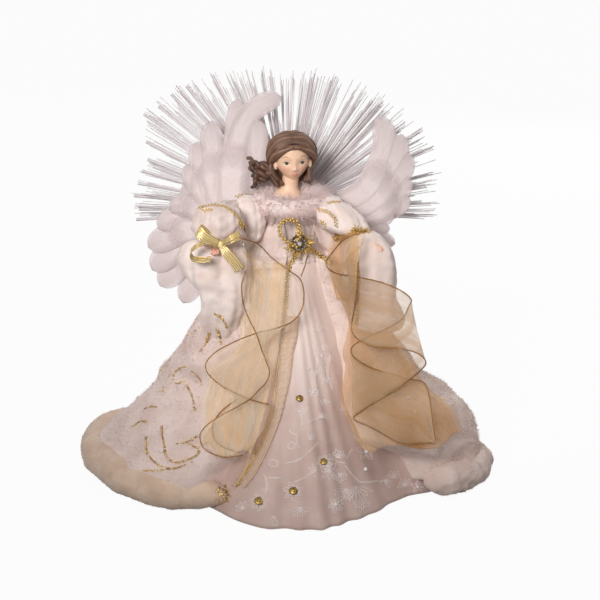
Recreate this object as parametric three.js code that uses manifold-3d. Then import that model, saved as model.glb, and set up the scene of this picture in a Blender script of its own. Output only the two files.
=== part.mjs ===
// Lighted angel tree topper: a hollow cone carries a cast figure, cloth skirts and sleeves, two feather
// wings that swing on rivets, and a fibre halo fed by a battery lamp unit at the back.
// Millimetres, +Z up, the angel faces -Y. "left" and "right" are the angel's own: right is the -X side.
import * as THREE from "three";
import { mergeVertices } from "three/addons/utils/BufferGeometryUtils.js";
import Module from "manifold-3d";

const wasm = await Module();
wasm.setup();
const { degToRad, lerp, smoothstep } = THREE.MathUtils;

// Fits
const clearance = 0.3; // between pieces that touch
const runningGap = 0.25; // round pins and sliding pieces

// Tree cone
const coneHeight = 166;
const coneBaseRadius = 50;
const coneTopRadius = 15;
const coneWall = 1.5;
const capFlange = 4;
const capPlugDepth = 8;

// Figure
const torsoHeight = 28;
const waistHalfWidth = 20;
const waistHalfDepth = 14;
const chestHalfWidth = 24;
const chestHalfDepth = 14;
const shoulderHalfWidth = 26;
const shoulderHalfDepth = 13;
const shoulderHeight = 14;
const neckRadius = 6.3;
const neckLength = 19.5;
const headHalfWidth = 13.4;
const headHalfDepth = 15.2;
const headHalfHeight = 17.5;
const hairThickness = 2.6;
const bodiceThickness = 2;
const collarHalfWidth = 20;
const collarHalfDepth = 15.5;
const collarRadius = 7;

// Skirts
const waistRise = 10; // waist seam above the top of the cone
const skirtTop = coneHeight + waistRise;
const hemHalfWidth = 158;
const hemFront = 107;
const hemFrontRight = 88; // reach of the side panels to the front, right and left
const hemFrontLeft = 58;
const hemBack = 70;
const frontStart = 241; // the gown's open front, degrees
const frontEnd = 318;
const gownWaistHalfWidth = 27;
const gownWaistHalfDepth = 22;
const trainSweep = 30; // how far the right side of the train is swept back
const gownThickness = 1.6;
const gownFoldDepth = 2.6;
const gownFolds = 18;
const flarePower = 1.25;
const layerGap = 1.6; // between one soft layer and the next
const plushThickness = 5;
const plushLump = 1.4;
const plushLift = 13; // how far the plush stands off the gown at its hem
const rightLiftTop = 88; // where it comes in to the gown, right and left
const leftLiftTop = 130;
const furRollRadius = 12;
const rollMargin = 4.5;
const organzaThickness = 0.8;
const organzaFoldDepth = 1.2;
const ventHalfWidth = 31; // opening at the back, round the lamp unit
const ventTopHalfWidth = 9;
const ventNarrowsFrom = 92; // heights between which the vent draws in
const ventNarrowsTo = 145;
const frontReach = hemFront - (hemFrontRight + hemFrontLeft) / 2 + trainSweep / 2;
const rightOrganza = { topOuter: 200, hemOuter: 238, topInner: 286, hemInner: 258, bottom: 46 };
const leftOrganza = { topOuter: 330, hemOuter: 298, topInner: 357, hemInner: 334, bottom: 46 };

// Sleeves and hands. Heights in these places, and in the ribbons', are above the waist seam.
const sleeveShoulderRadius = 9;
const bellDepth = 7;
const armWireRadius = 1.1;
const braidRadius = 1.2;
const rightArm = {
  wire: [[-22, -1, 29], [-36, -7, 30], [-45, -21, 27], [-49, -34, 21], [-50, -41, 17]],
  sleeve: [[-23, -1, 29], [-36, -7, 31], [-45, -20, 31], [-50, -36, 31]],
  bellRadius: 20,
  middleRadius: 12,
  palm: 4.5,
  lobes: [[-64, -26, -10, 19, 16, 27], [-48, -32, -10, 18, 14, 25]],
};
const leftArm = {
  wire: [[22, -1, 29], [33, -10, 30], [42, -22, 27], [54, -34, 20], [62, -41, 16]],
  sleeve: [[23, -1, 29], [30, -7, 30], [35, -14, 30], [40, -22, 28]],
  bellRadius: 14,
  middleRadius: 11,
  palm: 4.5,
  lobes: [[67, -28, -7, 17, 16, 30], [52, -29, 2, 13, 12, 20]],
};

// Ribbons: the middle line, the curl round it, and how far its two edges lie apart in turn and height
const ribbonThickness = 0.8;
const ribbonDepthShare = 0.55; // how deep a curl is for its width
const rightRibbon = {
  path: [
    [-34, -59.1, 19], [-22, -65, 4], [-13, -68, -12], [-22, -72, -40], [-37, -80, -66], [-42, -90, -88],
    [-45, -95, -112],
  ],
  radius: 24, turns: 1.25, start: -90, apart: 172, rise: 8,
};
const leftRibbon = {
  path: [
    [56, -65.1, 2], [60, -65.1, -12], [70, -67.1, -38], [75, -70.5, -66], [77, -74.5, -92],
    [78, -78.5, -114],
  ],
  radius: 29, turns: 2, start: 170, apart: 95, rise: 28,
};

// Waist and wrist trim
const broochX = 9.5;
const broochZ = skirtTop + 14;
const broochY = -24; // front of the setting
const broochDepth = 2.6;
const broochRadius = 7;
const broochStemRadius = 1.2;
const stoneRadius = 5;
const waistBraidRadius = 1.3;
const braidTailDrop = 46; // below the waist seam
const wristBowKnot = [-50, -53.8, 16]; // above the waist seam

// Wings. The root of a fan of feathers is at an x and at a height above the rivet.
const wingRivetX = 17;
const wingRivetRise = 3.4; // above the middle of the back plate
const wingRivetRadius = 1.6;
const wingCardThickness = 1.6;
const wingCardRoot = 6; // end radii of the card arm
const wingCardTip = 11;
const wingWristX = 50;
const wingWristRise = 8; // wrist above the rivet
const featherThickness = 1.1;
const featherStep = 0.4; // every second feather lies this much behind
const rightWing = {
  upper: {
    count: 6, from: 76, to: 140, long: 96, short: 46, width: 17,
    bendFrom: -30, bendTo: -4, root: [-47, 6],
  },
  lower: {
    count: 7, from: 170, to: 258, long: 46, short: 66, width: 16,
    bendFrom: 2, bendTo: 6, root: [-55, 0],
  },
};
const leftWing = {
  upper: {
    count: 6, from: 104, to: 168, long: 72, short: 52, width: 18,
    bendFrom: -6, bendTo: -2, root: [-43, 6],
  },
  lower: {
    count: 6, from: 184, to: 262, long: 50, short: 60, width: 16,
    bendFrom: 2, bendTo: 6, root: [-48, 2],
  },
};

// Halo
const haloY = 42;
const haloRise = 6.4; // above the middle of the back plate
const haloHubRadius = 13;
const haloPostRadius = 4;
const haloCombWidth = 9;
const haloCombThickness = 6;
const haloReach = 107;
const haloSideReach = 117;
const haloDroop = 4; // how far the fan drops below level at each end, degrees
const fibreLayers = 3;
const fibresInLayer = 100;
const fibresInTuft = 7;
const tuftPull = 0.45; // how far the fibres of one tuft draw together
const bundleRadius = 4;

// Back plate
const plateHalfWidth = 25;
const plateHeight = 18;
const plateThickness = 2.4;
const plateScrewX = 7;
const plateScrewRadius = 1.4;
const plateScrewHead = 2.8;
const plateScrewLength = 13;

// Lamp unit
const cellRadius = 5.2;
const cellLength = 44.5;
const cellCount = 3;
const cellGap = 0.8;
const contactDepth = 3.2;
const boxWall = 1.6;
const boxBottom = 16;
const boxFrontY = 49;
const coverThickness = 1.8;
const hingePinRadius = 0.8;
const hingeKnuckleRadius = 2.2;
const hingeKnuckleLength = 12;
const hingeLugLength = 6;
const lampRadius = 6.2;
const lampHeight = 16;
const ledRadius = 2.5;
const ferruleRadius = 5.5;
const ferruleHeight = 10;
const switchLength = 6;
const switchWidth = 3;
const switchTravel = 4;
const switchProud = 2;
const switchPocket = 1;

// Heights that follow from the sizes above
const capTop = coneHeight + clearance + capFlange;
const torsoBottom = capTop + clearance;
const torsoTop = torsoBottom + torsoHeight;
const bustBottom = torsoTop + clearance;
const neckBottom = bustBottom + shoulderHeight - 4;
const headZ = bustBottom + shoulderHeight + neckLength + headHalfHeight;
const plateZ = torsoTop - 6;
const wingRivetZ = plateZ + wingRivetRise;
const wingWristZ = wingRivetZ + wingWristRise;
const haloZ = plateZ + haloRise;
const fromWaist = ([x, y, rise, ...sizes]) => [x, y, skirtTop + rise, ...sizes];

// Materials
const finish = (color, roughness, metalness = 0) =>
  new THREE.MeshStandardMaterial({ color, roughness, metalness });
const card = finish(0xf2efe8, 0.8);
const resinSkin = finish(0xe9b793, 0.45);
const resinHair = finish(0x6b4733, 0.5);
const whiteCloth = finish(0xe9dfdc, 0.85);
const plush = finish(0xe6d9d3, 0.95);
const beigeFur = finish(0xcdb6a0, 0.95);
const goldOrganza = finish(0xd9b177, 0.5);
const goldBraid = finish(0xc79a3a, 0.35, 0.8);
const silverSetting = finish(0x8f857a, 0.3, 0.9);
const crystal = finish(0xdfe3e8, 0.1);
const feather = finish(0xe8dfe1, 0.8);
const clearFibre = finish(0xd8d4d8, 0.2);
const whitePlastic = finish(0xefefec, 0.4);
const steel = finish(0xb9bcc0, 0.3, 0.9);
const cellSleeve = finish(0x2f6f58, 0.4);
const blackSleeve = finish(0x2a2a2c, 0.6);

const model = new THREE.Group();

function addMesh(name, geometry, material, parent = model) {
  const mesh = new THREE.Mesh(geometry, material);
  mesh.name = name;
  parent.add(mesh);
  return mesh;
}

// Solids: closed geometry to and from the boolean library

function toSolid(geometry) {
  const bare = geometry.clone();
  bare.deleteAttribute("normal");
  bare.deleteAttribute("uv");
  const merged = mergeVertices(bare, 1e-4);
  return new wasm.Manifold(
    new wasm.Mesh({
      numProp: 3,
      vertProperties: merged.attributes.position.array,
      triVerts: new Uint32Array(merged.index.array),
    }),
  );
}

function toGeometry(solid) {
  const mesh = solid.getMesh();
  const geometry = new THREE.BufferGeometry();
  geometry.setAttribute("position", new THREE.BufferAttribute(mesh.vertProperties, 3));
  geometry.setIndex(new THREE.BufferAttribute(mesh.triVerts, 1));
  return geometry;
}

const join = (...geometries) =>
  toGeometry(geometries.map(toSolid).reduce((whole, next) => whole.add(next)));

const cut = (geometry, ...cutters) =>
  toGeometry(cutters.map(toSolid).reduce((left, cutter) => left.subtract(cutter), toSolid(geometry)));

// A geometry from points and triangles, turned to face out.
function facingOut(points, faces) {
  let volume = 0;
  for (let i = 0; i < faces.length; i += 3) {
    const [a, b, c] = [points[faces[i]], points[faces[i + 1]], points[faces[i + 2]]];
    volume += a.dot(b.clone().cross(c));
  }
  const turned = [];
  for (let i = 0; i < faces.length; i += 3) {
    const [a, b, c] = [faces[i], faces[i + 1], faces[i + 2]];
    turned.push(...(volume < 0 ? [a, c, b] : [a, b, c]));
  }
  const geometry = new THREE.BufferGeometry().setFromPoints(points);
  geometry.setIndex(turned);
  return geometry;
}

// A sheet with a thickness: two grids of points, outer(u, v) and inner(u, v), joined at their edges.
function sheet(outer, inner, columns, rows, closed = false) {
  const across = closed ? columns : columns + 1;
  const points = [];
  for (const side of [outer, inner])
    for (let r = 0; r <= rows; r++)
      for (let c = 0; c < across; c++) points.push(side(c / columns, r / rows));
  const at = (side, r, c) => (side * (rows + 1) + r) * across + (c % across);
  const faces = [];
  const quad = (a, b, c, d) => faces.push(a, b, c, a, c, d);
  for (let c = 0; c < columns; c++) {
    for (let r = 0; r < rows; r++) {
      quad(at(0, r, c), at(0, r, c + 1), at(0, r + 1, c + 1), at(0, r + 1, c));
      quad(at(1, r, c), at(1, r + 1, c), at(1, r + 1, c + 1), at(1, r, c + 1));
    }
    quad(at(1, 0, c), at(1, 0, c + 1), at(0, 0, c + 1), at(0, 0, c));
    quad(at(0, rows, c), at(0, rows, c + 1), at(1, rows, c + 1), at(1, rows, c));
  }
  if (!closed)
    for (let r = 0; r < rows; r++) {
      quad(at(1, r, 0), at(0, r, 0), at(0, r + 1, 0), at(1, r + 1, 0));
      quad(at(0, r, columns), at(1, r, columns), at(1, r + 1, columns), at(0, r + 1, columns));
    }
  return facingOut(points, faces);
}

// A tube along a curve, with its radius given at each share of the length.
function tube(curve, radiusAt, steps, sides) {
  const frames = curve.computeFrenetFrames(steps, false);
  const points = [];
  for (let i = 0; i <= steps; i++)
    for (let k = 0; k < sides; k++) {
      const turn = (2 * Math.PI * k) / sides;
      points.push(
        curve
          .getPointAt(i / steps)
          .addScaledVector(frames.normals[i], radiusAt(i / steps) * Math.cos(turn))
          .addScaledVector(frames.binormals[i], radiusAt(i / steps) * Math.sin(turn)),
      );
    }
  const first = points.push(curve.getPointAt(0)) - 1;
  const last = points.push(curve.getPointAt(1)) - 1;
  const faces = [];
  for (let k = 0; k < sides; k++) {
    const next = (k + 1) % sides;
    for (let i = 0; i < steps; i++) {
      const [a, b] = [i * sides + k, i * sides + next];
      faces.push(a, b, b + sides, a, b + sides, a + sides);
    }
    faces.push(first, next, k, last, steps * sides + k, steps * sides + next);
  }
  return facingOut(points, faces);
}

const curveThrough = (...places) =>
  new THREE.CatmullRomCurve3(places.map((place) => new THREE.Vector3(...place)));

const ellipsoid = (x, y, z, halfX, halfY, halfZ, around = 14, down = 9) =>
  new THREE.SphereGeometry(1, around, down)
    .rotateX(Math.PI / 2)
    .scale(halfX, halfY, halfZ)
    .translate(x, y, z);

const upright = (radiusTop, radiusBottom, height, x, y, bottom, sides = 16) =>
  new THREE.CylinderGeometry(radiusTop, radiusBottom, height, sides)
    .rotateX(Math.PI / 2)
    .translate(x, y, bottom + height / 2);

// A round bar along Y, from the nearer to the farther y.
const barAlongY = (radius, x, z, from, to, sides = 12) =>
  new THREE.CylinderGeometry(radius, radius, to - from, sides).translate(x, (from + to) / 2, z);

const block = (x0, x1, y0, y1, z0, z1) =>
  new THREE.BoxGeometry(x1 - x0, y1 - y0, z1 - z0).translate((x0 + x1) / 2, (y0 + y1) / 2, (z0 + z1) / 2);

// A flat outline in X and Z, thick along Y, with its front face at frontY.
const plateXZ = (shape, thickness, frontY) =>
  new THREE.ExtrudeGeometry(shape, { depth: thickness, bevelEnabled: false, curveSegments: 6 })
    .rotateX(Math.PI / 2)
    .translate(0, frontY + thickness, 0);

// Tree cone and its cap

const coneRadiusAt = (z) => lerp(coneBaseRadius, coneTopRadius, z / coneHeight);

function treeCone() {
  const profile = [
    [coneBaseRadius - coneWall, 0],
    [coneBaseRadius, 0],
    [coneTopRadius, coneHeight],
    [coneTopRadius - coneWall, coneHeight],
    [coneBaseRadius - coneWall, 0],
  ];
  return new THREE.LatheGeometry(profile.map((p) => new THREE.Vector2(...p)), 32).rotateX(Math.PI / 2);
}

function coneCap() {
  const bore = coneTopRadius - coneWall - clearance;
  const plug = coneRadiusAt(coneHeight - capPlugDepth) - coneWall - clearance;
  const profile = [
    [0, coneHeight - capPlugDepth],
    [Math.min(bore, plug), coneHeight - capPlugDepth],
    [bore, coneHeight + clearance],
    [coneTopRadius, coneHeight + clearance],
    [coneTopRadius, capTop],
    [0, capTop],
  ];
  return new THREE.LatheGeometry(profile.map((p) => new THREE.Vector2(...p)), 24).rotateX(Math.PI / 2);
}

addMesh("skirt_cone", treeCone(), card);
addMesh("cone_cap", coneCap(), whitePlastic);

// Torso core, bust, hair

const plateFrontY = chestHalfDepth + clearance + bodiceThickness + clearance;
const plateBackY = plateFrontY + plateThickness;

const torsoRing = (turn, height, grow) => {
  const share = (height - torsoBottom) / torsoHeight;
  const halfWidth = lerp(waistHalfWidth, chestHalfWidth, share) + grow;
  const halfDepth = lerp(waistHalfDepth, chestHalfDepth, share) + grow;
  return new THREE.Vector3(halfWidth * Math.cos(turn), halfDepth * Math.sin(turn), height);
};

const plateScrewHoles = [-1, 1].map((side) =>
  barAlongY(
    plateScrewRadius + runningGap, side * plateScrewX, plateZ,
    plateBackY - plateScrewLength - clearance, plateBackY + clearance,
  ),
);

function torsoCore() {
  const sides = 24;
  const points = [];
  for (const height of [torsoBottom, torsoTop])
    for (let k = 0; k < sides; k++) points.push(torsoRing((2 * Math.PI * k) / sides, height, 0));
  points.push(new THREE.Vector3(0, 0, torsoBottom), new THREE.Vector3(0, 0, torsoTop));
  const faces = [];
  for (let k = 0; k < sides; k++) {
    const next = (k + 1) % sides;
    faces.push(k, next, next + sides, k, next + sides, k + sides);
    faces.push(2 * sides, next, k, 2 * sides + 1, k + sides, next + sides);
  }
  return cut(facingOut(points, faces), ...plateScrewHoles);
}

const bustForms = (grow) => [
  ellipsoid(0, 0, bustBottom, shoulderHalfWidth + grow, shoulderHalfDepth + grow, shoulderHeight + grow),
  upright(neckRadius + grow, neckRadius + 1.2 + grow, headZ - 6 - neckBottom, 0, 1, neckBottom, 14),
  ellipsoid(0, -1, headZ, headHalfWidth + grow, headHalfDepth + grow, headHalfHeight + grow),
  ellipsoid(0, -8.5, headZ - 11.5, 7 + grow, 6.5 + grow, 6 + grow, 10, 8),
  ellipsoid(0, -0.6 - headHalfDepth, headZ - 4, 1.7 + grow, 2.2 + grow, 3.2 + grow, 8, 6),
];

function bust() {
  const below = block(-80, 80, -80, 80, bustBottom - 80, bustBottom);
  return cut(join(...bustForms(0)), below);
}

const hairForms = (grow) => [
  ellipsoid(0, 1.2, headZ + 1, headHalfWidth + hairThickness + grow, headHalfDepth + hairThickness + grow,
    headHalfHeight + hairThickness - 0.8 + grow, 12, 8),
  ellipsoid(12, 5, headZ - 10, 5.5 + grow, 6.5 + grow, 12 + grow, 9, 7),
  ellipsoid(-11, 5, headZ - 9, 6 + grow, 6.5 + grow, 11 + grow, 9, 7),
  ellipsoid(0, 10, headZ - 8, 11 + grow, 6.5 + grow, 14 + grow, 10, 8),
];

function hair() {
  const lock = tube(
    curveThrough([-12, 5, headZ - 8], [-20, 4, headZ - 10], [-26, 3, headZ - 11], [-30, 2, headZ - 9]),
    (share) => lerp(6.5, 3.2, share), 5, 8,
  );
  const faceOpening = ellipsoid(
    0, -headHalfDepth - 3, headZ - 6.5, headHalfWidth - 1.2, 13, headHalfHeight - 4, 12, 8,
  );
  return cut(join(...hairForms(0), lock), ...bustForms(clearance), faceOpening);
}

addMesh("torso_core", torsoCore(), card);
addMesh("head_bust", bust(), resinSkin);
addMesh("moulded_hair", hair(), resinHair);

// Bodice and collar

const bodiceBottom = torsoBottom + 4;

function bodice(grow = 0) {
  const wall = (reach) => (u, v) => torsoRing(2 * Math.PI * u, lerp(bodiceBottom, torsoTop, v), reach);
  return sheet(wall(clearance + bodiceThickness + grow), wall(clearance - grow), 24, 1, true);
}

// A round tube bent into a ring. Its middle line is an ellipse along the two axes.
function ring(centre, axisA, axisB, halfA, halfB, radius, around, sides) {
  const normal = axisA.clone().cross(axisB);
  const points = [];
  for (let i = 0; i < around; i++)
    for (let k = 0; k < sides; k++) {
      const turn = (2 * Math.PI * i) / around;
      const roll = (2 * Math.PI * k) / sides;
      points.push(
        centre
          .clone()
          .addScaledVector(axisA, (halfA + radius * Math.cos(roll)) * Math.cos(turn))
          .addScaledVector(axisB, (halfB + radius * Math.cos(roll)) * Math.sin(turn))
          .addScaledVector(normal, radius * Math.sin(roll)),
      );
    }
  const faces = [];
  for (let i = 0; i < around; i++)
    for (let k = 0; k < sides; k++) {
      const [j, n] = [(i + 1) % around, (k + 1) % sides];
      const [a, b, c, d] = [i * sides + k, j * sides + k, j * sides + n, i * sides + n];
      faces.push(a, b, c, a, c, d);
    }
  return facingOut(points, faces);
}

function collar(grow = 0) {
  const tilt = degToRad(18); // the front hangs lower than the back
  return ring(
    new THREE.Vector3(0, -3, bustBottom + shoulderHeight + 3),
    new THREE.Vector3(1, 0, 0), new THREE.Vector3(0, Math.cos(tilt), Math.sin(tilt)),
    collarHalfWidth, collarHalfDepth, collarRadius + grow, 22, 8,
  );
}

addMesh("bodice", cut(bodice(), ...plateScrewHoles), whiteCloth);
addMesh("fur_collar", cut(collar(), ...bustForms(clearance), ...hairForms(clearance)), plush);

// Skirts. Every layer is a sheet on one flared surface; its angle runs from the left side (0), over the
// back (90), the right side (180) and the front (270 degrees).

const gownHemHalfWidth = (() => {
  const rollRoom = 2 * furRollRadius + gownThickness + clearance + rollMargin;
  const open = Math.pow(1 - furRollRadius / skirtTop, flarePower);
  return gownWaistHalfWidth + (hemHalfWidth - rollRoom - gownWaistHalfWidth) / open;
})();

const openAt = (z) => Math.pow(1 - z / skirtTop, flarePower);
const frontShare = (angle) => {
  const share = (THREE.MathUtils.radToDeg(angle) - frontStart) / (frontEnd - frontStart);
  return smoothstep(share, 0, 0.42) * (1 - smoothstep(share, 0.58, 1));
};

function skirtPoint(angle, z, grow) {
  const open = openAt(z);
  const leftShare = smoothstep((1 + Math.cos(angle)) / 2, 0, 1);
  const sweep = trainSweep * (1 - leftShare) * open;
  const hemDepth = Math.sin(angle) < 0 ? lerp(hemFrontRight, hemFrontLeft, leftShare) : hemBack;
  const front = frontShare(angle);
  const fold = gownFoldDepth * open * (0.15 + 0.85 * front) * Math.cos(gownFolds * angle);
  const halfWidth = lerp(gownWaistHalfWidth, gownHemHalfWidth, open) + fold + grow;
  const halfDepth = lerp(gownWaistHalfDepth, hemDepth, open) + frontReach * front * open + fold + grow;
  return new THREE.Vector3(halfWidth * Math.cos(angle), sweep + halfDepth * Math.sin(angle), z);
}

// Half the vent's width at a height, as an angle each side of the middle of the back.
function ventAngle(z, grow) {
  const half = lerp(ventHalfWidth, ventTopHalfWidth, smoothstep(z, ventNarrowsFrom, ventNarrowsTo));
  const reach = skirtPoint(0, z, grow).x;
  return Math.asin(half / reach);
}

const rightBack = (z, grow) => Math.PI / 2 + ventAngle(z, grow);
const leftBack = (z, grow) => 2.5 * Math.PI - ventAngle(z, grow);

// A sheet of one skirt layer between two edges that may move with the height.
function skirtSheet({ from, to, bottom, top, inner, outer, columns, rows, pace = (u) => u }) {
  const point = (grow) => (u, v) => {
    const z = lerp(bottom, top, v);
    const angle = lerp(from(z), to(z), pace(u));
    return skirtPoint(angle, z, grow(angle, z));
  };
  return sheet(point(outer), point(inner), columns, rows);
}

// Columns of the gown lie closer together at its front, where the folds show.
const closeAtFront = (u) => u + 0.11 * Math.sin(2 * Math.PI * u);

function gown() {
  return skirtSheet({
    from: (z) => rightBack(z, 0), to: (z) => leftBack(z, 0),
    bottom: 0, top: skirtTop,
    inner: () => 0, outer: () => gownThickness,
    columns: 56, rows: 5, pace: closeAtFront,
  });
}

// The plush stands off the gown towards its hem, so that the hem lies on the fur roll.
const plushBottom = 2 * furRollRadius + 2 * clearance;
const looseness = (z) => smoothstep(skirtTop - z, 0, 8); // 0 where the layers are sewn at the waist, 1 below
const layerGapAt = (z) => lerp(1.5 * clearance, layerGap, looseness(z));
const plushInner = (angle, z) => {
  const liftTop = lerp(rightLiftTop, leftLiftTop, smoothstep(Math.cos(angle), -0.3, 0.3));
  const lift = plushLift * (1 - smoothstep(z, plushBottom, liftTop)) * (1 - frontShare(angle));
  return gownThickness + layerGapAt(z) + lift;
};
const plushOuter = (angle, z) =>
  plushInner(angle, z) + plushThickness +
  plushLump * looseness(z) * Math.sin(9 * angle + z / 9) * Math.sin(z / 13);

const rightFrontEdge = degToRad(frontStart + 5);
const leftFrontEdge = degToRad(frontEnd - 5);

function plushPanel(from, to) {
  return skirtSheet({
    from, to, bottom: plushBottom, top: skirtTop,
    inner: plushInner, outer: plushOuter, columns: 19, rows: 8,
  });
}

class HemCurve extends THREE.Curve {
  constructor(from, to, grow, z) {
    super();
    Object.assign(this, { from, to, grow, z });
  }
  getPoint(share) {
    const angle = lerp(this.from, this.to, share);
    return skirtPoint(angle, this.z, this.grow);
  }
}

function furRoll(from, to) {
  const grow = gownThickness + clearance + rollMargin + furRollRadius;
  const curve = new HemCurve(from, to, grow, furRollRadius);
  return levelTube(curve, furRollRadius, 20, 8);
}

// A tube along a level curve: its sections stay upright and have a flat foot.
function levelTube(curve, radius, steps, sides) {
  const points = [];
  for (let i = 0; i <= steps; i++) {
    const along = curve.getTangent(i / steps);
    const outward = new THREE.Vector3(along.y, -along.x, 0).normalize();
    for (let k = 0; k < sides; k++) {
      const turn = (2 * Math.PI * (k + 0.5)) / sides;
      points.push(
        curve.getPoint(i / steps)
          .addScaledVector(outward, radius * Math.cos(turn))
          .add(new THREE.Vector3(0, 0, (radius * Math.sin(turn)) / Math.cos(Math.PI / sides))),
      );
    }
  }
  const first = points.push(curve.getPoint(0)) - 1;
  const last = points.push(curve.getPoint(1)) - 1;
  const faces = [];
  for (let k = 0; k < sides; k++) {
    const next = (k + 1) % sides;
    for (let i = 0; i < steps; i++) {
      const [a, b] = [i * sides + k, i * sides + next];
      faces.push(a, b, b + sides, a, b + sides, a + sides);
    }
    faces.push(first, next, k, last, steps * sides + k, steps * sides + next);
  }
  return facingOut(points, faces);
}

const organzaInner = (angle, z) =>
  plushInner(angle, z) + plushThickness + plushLump * looseness(z) + layerGapAt(z) +
  organzaFoldDepth * openAt(z) * (1 + Math.sin(20 * angle + 2));
const organzaOuter = (angle, z) => organzaInner(angle, z) + organzaThickness;

function organzaPanel({ topOuter, hemOuter, topInner, hemInner, bottom }) {
  const edge = (atTop, atHem) => (z) => degToRad(lerp(atHem, atTop, (z - bottom) / (skirtTop - bottom)));
  return skirtSheet({
    from: edge(topOuter, hemOuter), to: edge(topInner, hemInner),
    bottom, top: skirtTop, inner: organzaInner, outer: organzaOuter, columns: 9, rows: 7,
  });
}

// The ring that the skirts are sewn to, between the torso and the gown's top edge
const waistBandBottom = torsoBottom;
const waistBandTop = bodiceBottom - clearance;

function waistBand() {
  const height = (v) => lerp(waistBandBottom, waistBandTop, v);
  return sheet(
    (u, v) => skirtPoint(2 * Math.PI * u, height(v), -clearance - gownFoldDepth * openAt(height(v)) * 0.5),
    (u, v) => torsoRing(2 * Math.PI * u, height(v), clearance),
    24, 1, true,
  );
}

addMesh("waist_band", waistBand(), whiteCloth);
addMesh("gown_skirt", gown(), whiteCloth);
addMesh("right_plush_panel", plushPanel((z) => rightBack(z, 8), () => rightFrontEdge), plush);
addMesh("left_plush_panel", plushPanel(() => leftFrontEdge, (z) => leftBack(z, 8)), plush);
addMesh("right_fur_hem", furRoll(rightBack(furRollRadius, 13), rightFrontEdge), beigeFur);
addMesh("left_fur_hem", furRoll(leftFrontEdge, leftBack(furRollRadius, 13)), plush);
addMesh("right_organza_panel", organzaPanel(rightOrganza), goldOrganza);
addMesh("left_organza_panel", organzaPanel(leftOrganza), goldOrganza);

// What stands clear of all the skirt layers
const skirtCutter = sheet(
  (u, v) => {
    const [angle, z] = [2 * Math.PI * (u + 0.25), skirtTop * v];
    return skirtPoint(angle, z, organzaOuter(angle, z) + organzaFoldDepth + clearance);
  },
  (u, v) => new THREE.Vector3(10 * Math.cos(2 * Math.PI * u), 10 * Math.sin(2 * Math.PI * u), skirtTop * v),
  72, 12, true,
);

// Wired ribbons: a strip between two edges that curl round one middle line.

function wiredRibbon({ path, radius, turns, start, apart, rise }) {
  const middle = curveThrough(...path.map(fromWaist));
  const edge = (share, side) => {
    const turn = degToRad(start) + 2 * Math.PI * turns * share + side * degToRad(apart / 2);
    return middle.getPointAt(share).add(
      new THREE.Vector3(
        radius * Math.cos(turn),
        radius * ribbonDepthShare * Math.sin(turn),
        (-side * rise) / 2,
      ),
    );
  };
  const place = (u, v) => edge(v, -1).lerp(edge(v, 1), u);
  const step = 1e-3;
  const face = (lift) => (u, v) => {
    const along = place(u, Math.min(v + step, 1)).sub(place(u, Math.max(v - step, 0)));
    const across = edge(v, 1).sub(edge(v, -1));
    return place(u, v).addScaledVector(along.cross(across).normalize(), lift);
  };
  return sheet(face(ribbonThickness / 2), face(-ribbonThickness / 2), 2, 36);
}

addMesh("right_wired_ribbon", wiredRibbon(rightRibbon), goldOrganza);
addMesh("left_wired_ribbon", wiredRibbon(leftRibbon), goldOrganza);

// Arms: a wire through a belled sleeve to a cast hand, and a plush sleeve that hangs below

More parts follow.
